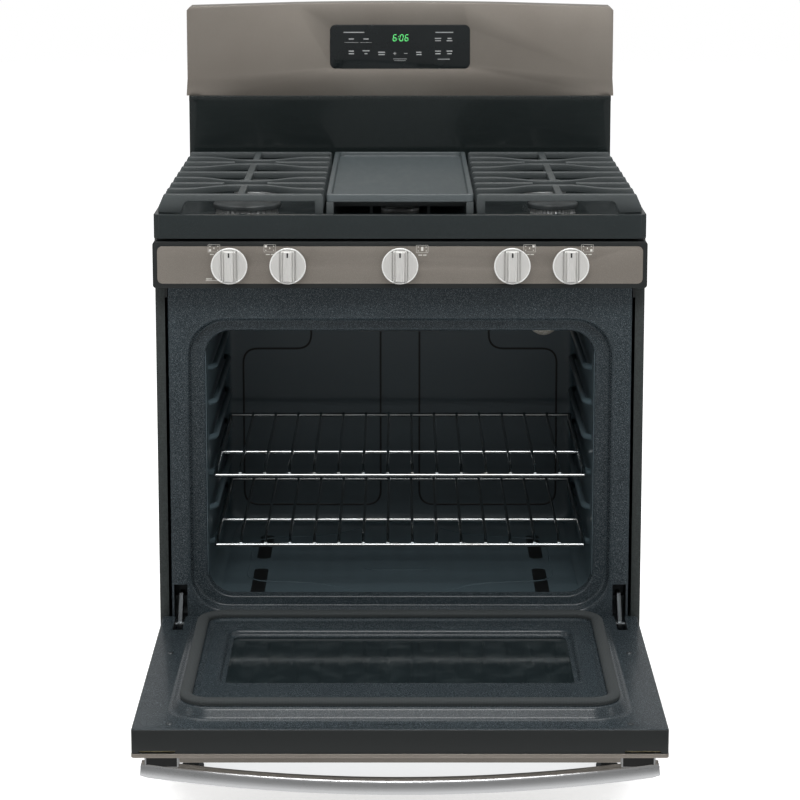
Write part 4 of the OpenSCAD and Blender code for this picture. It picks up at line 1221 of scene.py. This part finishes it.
def build_handle():
    """Bowed bar with a soft oval section, closed ends and its two posts."""
    half = (HANDLE_HIGH.x - HANDLE_LOW.x) / 2 - 2 * MM
    depth, tall = 24 * MM, HANDLE_HIGH.z - HANDLE_LOW.z
    front = HANDLE_LOW.y
    middle_z = (HANDLE_LOW.z + HANDLE_HIGH.z) / 2
    bow = 27 * MM
    radius = ((half - 1 * MM) ** 2 + bow**2) / (2 * bow)
    rings = []
    steps, around, roundness = 72, 28, 0.62
    for k in range(steps + 1):
        x = half * (2 * k / steps - 1)
        y = front + depth / 2 + radius - math.sqrt(radius**2 - x**2)
        slope = math.atan2(x, math.sqrt(radius**2 - x**2))
        end = min(1.0, (half - abs(x)) / (1.2 * MM) * 0.5 + 0.86)
        loop = []
        for step in range(around):
            angle = 2 * math.pi * step / around
            c, s = math.cos(angle), math.sin(angle)
            out = depth / 2 * math.copysign(abs(c) ** roundness, c) * end
            up = tall / 2 * math.copysign(abs(s) ** roundness, s) * end
            loop.append(Vector((x - out * math.sin(slope), y + out * math.cos(slope), middle_z + up)))
        rings.append(loop)
    thing = piece("handle_bar", *closed_loft(rings), "handle_steel", "door", DOOR, 50.0)
    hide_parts("door_handle")

    post_x, wide, high = half + 2 * MM - 32 * MM, 24 * MM, 8 * MM
    inner = front + depth * 0.8 + radius - math.sqrt(radius**2 - post_x**2)
    post = (post_x - wide, post_x + wide)
    posts = both_sides(post, (inner, SKIN_LOW.y), (middle_z - high, middle_z + high))
    legs = piece("handle_post_shells", *slabs(posts), "handle_steel", "door", DOOR)
    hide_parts("handle_posts")
    plugs = both_sides(
        (post[0] + 2 * MM, post[1] - 2 * MM),
        (inner + 1 * MM, SKIN_LOW.y - 0.6 * MM),
        (middle_z + high - 4 * MM, middle_z + high + 0.4 * MM),
    )
    piece("post_plugs", *slabs(plugs), "trim_dark", "door", DOOR)
    caps = []
    for side in SIDES:
        edge = side * (half + 0.2 * MM)
        for z in (-4 * MM, 3 * MM):
            near, far = sorted((edge, edge - side * 3 * MM))
            caps.append(((near, front + 33 * MM, middle_z + z - 1.4 * MM),
                         (far, front + 43 * MM, middle_z + z + 1.4 * MM)))
    piece("bar_end_clips", *slabs(caps, 0.4 * MM), "trim_dark", "door", DOOR)


def build_door_skins():
    """Outer panel, edge frame and glass of the door."""
    ease = sizes().edge_ease / MM
    eased("door_outer_panel", "slate", 0.6 * ease)
    eased("door_edge_frame", "trim", 0.3 * ease)
    eased("door_window_glass", "outer_glass", 0.1)
    eased("hinge_channels", "hinge_steel", 0.3)


def on_door(spots):
    """Points and directions given in the door's axes, moved to where the door lies."""
    return [(DOOR @ Vector(point), DOOR.to_3x3() @ Vector(way)) for point, way in spots]


def build_door_screws():
    """Screws of the door liner, rivets along the door's edges, and black slabs of painted shade in the
    vent slots of its top edge.
    """
    stamp = screw_stamp(sizes().screw_width)
    spots = []
    for side in SIDES:
        spots.append(((side * 347 * MM, FLANGE_Y, 180 * MM), (0, 1, 0)))
        spots.append(((side * 323 * MM, FLANGE_Y, DOOR_LINER_HIGH.z - 20 * MM), (0, 1, 0)))
    screws = stamped("liner_screws", on_door(spots), stamp, "hinge_steel", "door")
    bpy.data.objects.remove(stamp)
    small = screw_stamp(6 * MM, 0.9 * MM)
    edge = []
    for side in SIDES:
        for z in RIVET_HEIGHTS:
            edge.append(((side * (SKIN_HIGH.x - 0.5 * MM), 0, z * MM), (side, 0, 0)))
    stamped("edge_rivets", on_door(edge), small, "zinc", "door")
    bpy.data.objects.remove(small)
    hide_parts("door_screws")
    # Black slabs inside the vent slots of the door's top edge: painted shade.
    vent_x, vent_half = 339 * MM, 24.6 * MM
    vent_shadows = both_sides(
        (vent_x - vent_half, vent_x + vent_half),
        (SKIN_LOW.y + 2.6 * MM, SKIN_LOW.y + 5.2 * MM),
        (SKIN_HIGH.z - 6 * MM, SKIN_HIGH.z - 1 * MM),
    )
    piece("edge_vents", *slabs(vent_shadows, 0.2 * MM), "trim_dark", "door", DOOR)


# ---- Controls ----


def knob_place(node):
    """Axes of a knob: Z out of the panel and Y up."""
    low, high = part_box(node)
    centre = ((low.x + high.x) / 2, high.y, (low.z + high.z) / 2)
    return Matrix.Translation(centre) @ Matrix.Rotation(math.radians(90), 4, "X")


def build_knobs():
    """Turned knobs: a rim in a brighter copy of the knob finish as a painted highlight, brushed face
    with a sunk channel, and a raised grip.
    """
    for node in KNOBS:
        low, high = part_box(node)
        r, depth = (high.x - low.x) / 2, high.y - low.y
        face = depth * 0.60
        place = knob_place(node)
        body = BODY_OF[node]
        disc = [(r * 0.30, 0), (r * 0.93, 0), (r * 0.95, 0.8 * MM), (r * 0.965, face - 4.0 * MM),
                (r * 0.955, face - 3.4 * MM), (r * 0.93, face - 0.6 * MM), (r * 0.88, face - 0.2 * MM),
                (r * 0.3, face - 0.5 * MM), (0.0001, face - 0.5 * MM)]
        turned_body = piece(node + "_body", *closed_loft(turned(disc, KNOB_STEPS)), "knob_steel", body)
        hoop = [(r * 0.92, face - 3.0 * MM), (r * 0.985, face - 3.0 * MM), (r, face - 2.2 * MM),
                (r, face - 1.0 * MM), (r * 0.985, face), (r * 0.955, face + 0.3 * MM),
                (r * 0.93, face - 0.1 * MM), (r * 0.92, face - 0.7 * MM)]
        hoop_rings = turned(hoop, KNOB_STEPS)
        # The rim takes the brighter copy of the knob finish, a painted highlight.
        piece(node + "_rim", *loft(hoop_rings + hoop_rings[:1]), "knob_rim", body, place, 60.0)
        channel = 12.6 * MM
        reach = r * 0.88
        sunk = ((-channel, -reach, face - 3.4 * MM), (channel, reach, face + MM))
        cut_boxes(turned_body, [sunk])
        turned_body.data.transform(place)
        dress(turned_body.data, "knob_steel", 30.0)
        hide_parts(node)
        length, wide = r * 1.72, 10.4 * MM
        grip = []
        for k in range(33):
            y = length * (2 * k / 32 - 1) / 2
            end = max(0.0, 1 - abs(2 * y / length)) * length / 2
            drop = max(0.0, 1 - end / (2.2 * MM)) ** 2 * 2.2 * MM
            top = depth - drop
            flank = [(0.0, face - 4 * MM), (0.0, top - 3.2 * MM), (0.5 * MM, top - 2.2 * MM),
                     (1.6 * MM, top - 1.9 * MM), (2.0 * MM, top - 4.2 * MM), (2.9 * MM, top - 4.4 * MM),
                     (3.3 * MM, top - 1.2 * MM), (4.0 * MM, top - 0.2 * MM), (5.0 * MM, top),
                     (6.2 * MM, top - 0.9 * MM), (wide, top - 1.5 * MM)]
            section = [(x - wide, z) for x, z in flank]
            section += [(wide - x, z) for x, z in reversed(flank[:-1])]
            grip.append([Vector((x, y, z)) for x, z in section])
        piece(node + "_grip", *closed_loft(grip), "knob_steel", body, place, CREASE)
        mark = ((-1.3 * MM, length / 2 - 9.6 * MM, depth - 2.4 * MM),
                (1.3 * MM, length / 2 - 2.6 * MM, depth - 1.1 * MM))
        piece(node + "_mark", *slabs([mark], 0.3 * MM), "trim_dark", body, place)


def legend(name, marks, y, key, thickness):
    """Flat printed marks on an upright face, each (x, z, width, height) in millimetres."""
    boxes = []
    for x, z, width, height in marks:
        boxes.append(((x * MM - width * MM / 2, y - thickness * MM, z * MM - height * MM / 2),
                      (x * MM + width * MM / 2, y + 0.3 * MM, z * MM + height * MM / 2)))
    piece(name, *slabs(boxes, 0.05 * MM), key, CABINET)


def burner_icon(x, z, active):
    """Small plan of the cooktop: four dots and the centre bar, one of them filled."""
    marks = []
    spots = [(-6, -3), (-6, 3), (0, 0), (6, -3), (6, 3)]
    filled, plain, centre = 3.4, 1.5, 2
    for number, (dx, dz) in enumerate(spots):
        size = filled if number == active else plain
        marks.append((x + dx, z + dz, size, size if number != centre else size * 1.7))
    for dx in (-9, 9):
        marks.append((x + dx, z, 0.4, 11))
    for dz in (-5.6, 5.6):
        marks.append((x, z + dz, 18, 0.4))
    return marks


def build_panel_legends():
    """Burner plans and short bars beside the knobs."""
    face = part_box("control_panel")[0].y
    marks = []
    plan = [(-24, 25, 0), (-28, 25, 1), (34, 24, 2), (27, 25, 4), (26, 25, 3)]
    for node, (dx, dz, active) in zip(KNOBS, plan):
        centre = knob_place(node).translation / MM
        marks += burner_icon(centre.x + dx, centre.z + dz, active)
        bar_z = centre.z + dz - 9.5
        marks += [(centre.x + dx - 3, bar_z, 6, 1.3), (centre.x + dx + 4, bar_z, 5, 1.3)]
    first = knob_place(KNOBS[0]).translation / MM
    marks += [(first.x - 26, first.z - 25, 22, 0.7), (first.x - 32, first.z - 22.5, 9, 1.2)]
    legend("panel_legends", marks, face, "ink_pale", 0.12)


SEGMENTS = {"0": "abcdef", "1": "bc", "2": "abged", "3": "abgcd", "4": "fgbc", "5": "afgcd",
            "6": "afgedc", "7": "abc", "8": "abcdefg", "9": "abcdfg"}


def digit_boxes(digit, x, z):
    """Segments of one clock digit, in millimetres."""
    t, w, h = 1.1, DIGIT_WIDTH / 2, DIGIT_HEIGHT / 2
    bar = (DIGIT_WIDTH - t, t)
    upright = (t, h - t)
    spots = {"a": (0, h, *bar), "g": (0, 0, *bar), "d": (0, -h, *bar),
             "f": (-w, h / 2, *upright), "b": (w, h / 2, *upright),
             "e": (-w, -h / 2, *upright), "c": (w, -h / 2, *upright)}
    chosen = [spots[name] for name in SEGMENTS[digit]]
    return [(x + dx + dz * DIGIT_LEAN, z + dz, sx, sz) for dx, dz, sx, sz in chosen]


def build_console():
    """Console casing, its glass, the clock digits and the touch key marks."""
    ease = sizes().edge_ease / MM
    eased("console_shell", "slate", 1.2 * ease)
    eased("console_glass", "console_glass", 0.4)
    low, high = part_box("console_glass")
    face = low.y
    z0 = (low.z + high.z) / 2 / MM
    x = -DIGIT_PITCH
    lit = []
    for character in bpy.context.scene.range_look.clock:
        if character == ":":
            lit += [(x - 2.6, z0 + 17.5, 1.1, 1.1), (x - 3.2, z0 + 13.5, 1.1, 1.1)]
            x += 2.6
        else:
            lit += digit_boxes(character, x, z0 + 15.5)
            x += DIGIT_PITCH
    legend("clock_digits", lit, face, "lit", 0.1)
    rows = [
        (-80, 25, 36, 1.6), (-84.5, 13.5, 9, 1.8), (-59, 13.5, 9, 1.8), (-84.5, 7.5, 24, 0.5),
        (-59, 7.5, 20, 0.5), (-84.5, -7.5, 9, 1.8), (-84.5, -12, 9, 1.8), (-59, -7, 12, 1.8),
        (-59, -12, 5, 1.8), (-32, -9.5, 12, 1.8), (-32, -13.5, 11, 1.8), (-9, -11.5, 5, 1.2),
        (-9, -11.5, 1.2, 5), (10, -11.5, 6, 1.0), (33, -9.5, 9, 1.8), (33, -13.5, 9, 1.8),
        (77, 25, 31, 1.6), (66, 14.5, 11, 1.8), (66, 10.5, 10, 1.4), (86, 14.5, 7, 1.8),
        (86, 10.5, 10, 1.6), (66, -7.5, 10, 1.8), (66, -12, 9, 1.8), (86, -7.5, 10, 1.8),
        (86, -12, 8, 1.8), (76, -21.5, 21, 1.2), (0, -21, 24, 0.8), (0, -24, 20, 0.6),
    ]
    marks = [(dx, z0 + dz, sx, sz) for dx, dz, sx, sz in rows]
    legend("key_marks", marks, face, "ink", 0.08)


def build_control_panel():
    """Knob panel and its dark surround, with their edges rounded."""
    eased("control_panel", "slate", 1.0)
    eased("control_panel_trim", "trim", 2.2)


# ---- Cooktop ----


def build_cooktop():
    """Enamelled top, castings, griddle and backsplash."""
    eased("cooktop", "black", 2.2, 4)
    eased("backsplash", "backsplash", 0.5)
    width = sizes().cast_ease / MM
    for node in ("left_grate", "right_grate", "centre_grate"):
        eased(node, "cast_iron", width, 3)
    eased("griddle", "griddle", 2.4, 4)


def build_burners():
    """Caps, alloy bases and igniters of the burners, with their edges rounded."""
    eased("burner_caps", "burner_cap", 1.6, 3)
    eased("burner_bases", "alloy", 0.3, 1)
    eased("spark_electrodes", "ceramic", 0.4)


# ---- Racks ----


def build_racks():
    """Wire racks: rails across and along, and the long wires, where the frame has them."""
    rail, wire = sizes().rail_width, sizes().wire_width
    for node in ("upper_rack", "lower_rack"):
        low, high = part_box(node)
        side = high.x - rail / 2
        front, back = low.y + rail / 2, high.y - rail / 2
        front_z, back_z = low.z + rail / 2, high.z - rail / 2
        mid = front_z + 8 * MM
        deck = mid + rail / 2 + wire / 2 - 0.6 * MM
        third = front + (back - front) / 3
        rails = [
            [(-side, front, front_z), (side, front, front_z)],
            [(-side, third, mid), (side, third, mid)],
            [(-side, back, back_z), (side, back, back_z)],
        ]
        bend = rounded_path(
            [(front, front_z), (front + 16 * MM, mid), (back - 16 * MM, mid), (back, back_z)], 8 * MM
        )
        for direction in SIDES:
            rails.append([(direction * side, y, z) for y, z in bend])
        frame_piece = wires(node + "_rails", rails, rail, "chrome", BODY_OF[node], 14)
        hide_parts(node)
        count = sizes().rack_wires
        path = rounded_path(
            [(front - 1.2 * MM, front_z + 4.2 * MM), (front + 12 * MM, deck), (back - 15 * MM, deck),
             (back, back_z + rail / 2 - 0.6 * MM)], 8 * MM
        )
        long_wires = []
        for k in range(count):
            x = side * (2 * (k + 1) / (count + 1) - 1)
            long_wires.append([(x, y, z) for y, z in path])
        wires(node + "_wires", long_wires, wire, "chrome", BODY_OF[node])


# ---- Sheet metal and hidden parts ----


def build_sheet_metal():
    """Side and rear panels, base, drawer, legs, hinge mounts and the gas regulator."""
    for node in ("side_panel_left", "side_panel_right"):
        eased(node, "side_paint", 0.5)
    eased("drawer_front", "slate", 2.0)
    eased("drawer_box", "zinc", 0.5)
    eased("rear_panel", "zinc", 0.4)
    eased("base_pan", "zinc", 0.4)
    eased("levelling_legs", "trim", 0.8)
    eased("hinge_mounts", "hinge_steel", 0.4)
    eased("pressure_regulator", "alloy", 1.0)


CAD_FINISHES = {
    "oven_floor_panel": "oven_inside", "oven_insulation": "wool", "bake_burner": "steel_tube",
    "broil_burner": "steel_tube", "oven_lamp": "ceramic", "oven_temperature_probe": "steel_tube",
    "console_circuit_board": "board", "gas_manifold": "steel_tube", "gas_valves": "brass",
    "gas_inlet_pipe": "steel_tube", "drawer_rails": "zinc", "drawer_runners": "zinc",
    "cabinet_screws": "zinc", "door_inner_glass": "oven_glass", "door_insulation": "wool",
    "valve_stem_1": "steel_tube", "valve_stem_2": "steel_tube", "valve_stem_3": "steel_tube",
    "valve_stem_4": "steel_tube", "valve_stem_5": "steel_tube",
}


def dress_frame():
    """Finishes for the frame's own nodes, zinc where no other is named."""
    for node, thing in NODES.items():
        thing.data.materials.clear()
        thing.data.materials.append(finish_of(CAD_FINISHES.get(node, "zinc")))


# ---- Add-on ----


class RANGE_OT_stage(bpy.types.Operator):
    """Add the floor, the studio light and the camera"""

    bl_idname = "range_looks.stage"
    bl_label = "Stage"

    def execute(self, context):
        build_stage()
        return {"FINISHED"}


class RANGE_OT_oven(bpy.types.Operator):
    """Build the pressed front frame, the oven cavity and its racks"""

    bl_idname = "range_looks.oven"
    bl_label = "Oven and racks"

    def execute(self, context):
        build_front_frame()
        build_cavity()
        build_racks()
        return {"FINISHED"}


class RANGE_OT_door(bpy.types.Operator):
    """Build the door liner, its seal, panes, edge and screws"""

    bl_idname = "range_looks.door"
    bl_label = "Oven door"

    def execute(self, context):
        build_door_liner()
        build_gasket()
        build_door_skins()
        build_door_screws()
        return {"FINISHED"}


class RANGE_OT_handle(bpy.types.Operator):
    """Build the bowed door handle and its posts"""

    bl_idname = "range_looks.handle"
    bl_label = "Door handle"

    def execute(self, context):
        build_handle()
        return {"FINISHED"}


class RANGE_OT_knobs(bpy.types.Operator):
    """Build the five burner knobs"""

    bl_idname = "range_looks.knobs"
    bl_label = "Knobs"

    def execute(self, context):
        build_knobs()
        return {"FINISHED"}


class RANGE_OT_control_panel(bpy.types.Operator):
    """Build the knob panel with its border and legends"""

    bl_idname = "range_looks.control_panel"
    bl_label = "Knob panel"

    def execute(self, context):
        build_control_panel()
        build_panel_legends()
        return {"FINISHED"}


class RANGE_OT_console(bpy.types.Operator):
    """Build the console, its clock and its touch keys"""

    bl_idname = "range_looks.console"
    bl_label = "Console"

    def execute(self, context):
        build_console()
        return {"FINISHED"}


class RANGE_OT_cooktop(bpy.types.Operator):
    """Build the cooktop, the cast grates, the griddle and the burners"""

    bl_idname = "range_looks.cooktop"
    bl_label = "Cooktop"

    def execute(self, context):
        build_cooktop()
        build_burners()
        return {"FINISHED"}


class RANGE_OT_sheet_metal(bpy.types.Operator):
    """Round the edges of the outer sheets, the drawer and the base"""

    bl_idname = "range_looks.sheet_metal"
    bl_label = "Sheet metal"

    def execute(self, context):
        build_sheet_metal()
        return {"FINISHED"}


class RANGE_OT_frame_finishes(bpy.types.Operator):
    """Give the frame's own parts their finishes"""

    bl_idname = "range_looks.frame_finishes"
    bl_label = "Frame finishes"

    def execute(self, context):
        dress_frame()
        return {"FINISHED"}


OPERATORS = (
    RANGE_OT_stage,
    RANGE_OT_frame_finishes,
    RANGE_OT_sheet_metal,
    RANGE_OT_oven,
    RANGE_OT_door,
    RANGE_OT_handle,
    RANGE_OT_control_panel,
    RANGE_OT_knobs,
    RANGE_OT_console,
    RANGE_OT_cooktop,
)


class RANGE_PT_looks(bpy.types.Panel):
    """Sizes, light and building steps of the range"""

    bl_idname = "RANGE_PT_looks"
    bl_label = "Gas range"
    bl_space_type = "VIEW_3D"
    bl_region_type = "UI"
    bl_category = "Range"

    def draw(self, context):
        for group in (context.scene.range_sizes, context.scene.range_look):
            box = self.layout.box()
            for name in group.__annotations__:
                box.prop(group, name)
        for kind in OPERATORS:
            self.layout.operator(kind.bl_idname)


CLASSES = (RangeSizes, RangeLook, *OPERATORS, RANGE_PT_looks)


def register():
    for kind in CLASSES:
        bpy.utils.register_class(kind)
    bpy.types.Scene.range_sizes = bpy.props.PointerProperty(type=RangeSizes)
    bpy.types.Scene.range_look = bpy.props.PointerProperty(type=RangeLook)


def unregister():
    del bpy.types.Scene.range_look
    del bpy.types.Scene.range_sizes
    for kind in reversed(CLASSES):
        bpy.utils.unregister_class(kind)


def main():
    register()
    for kind in OPERATORS:
        getattr(bpy.ops.range_looks, kind.bl_idname.split(".")[1])()


if __name__ == "__main__":
    main()
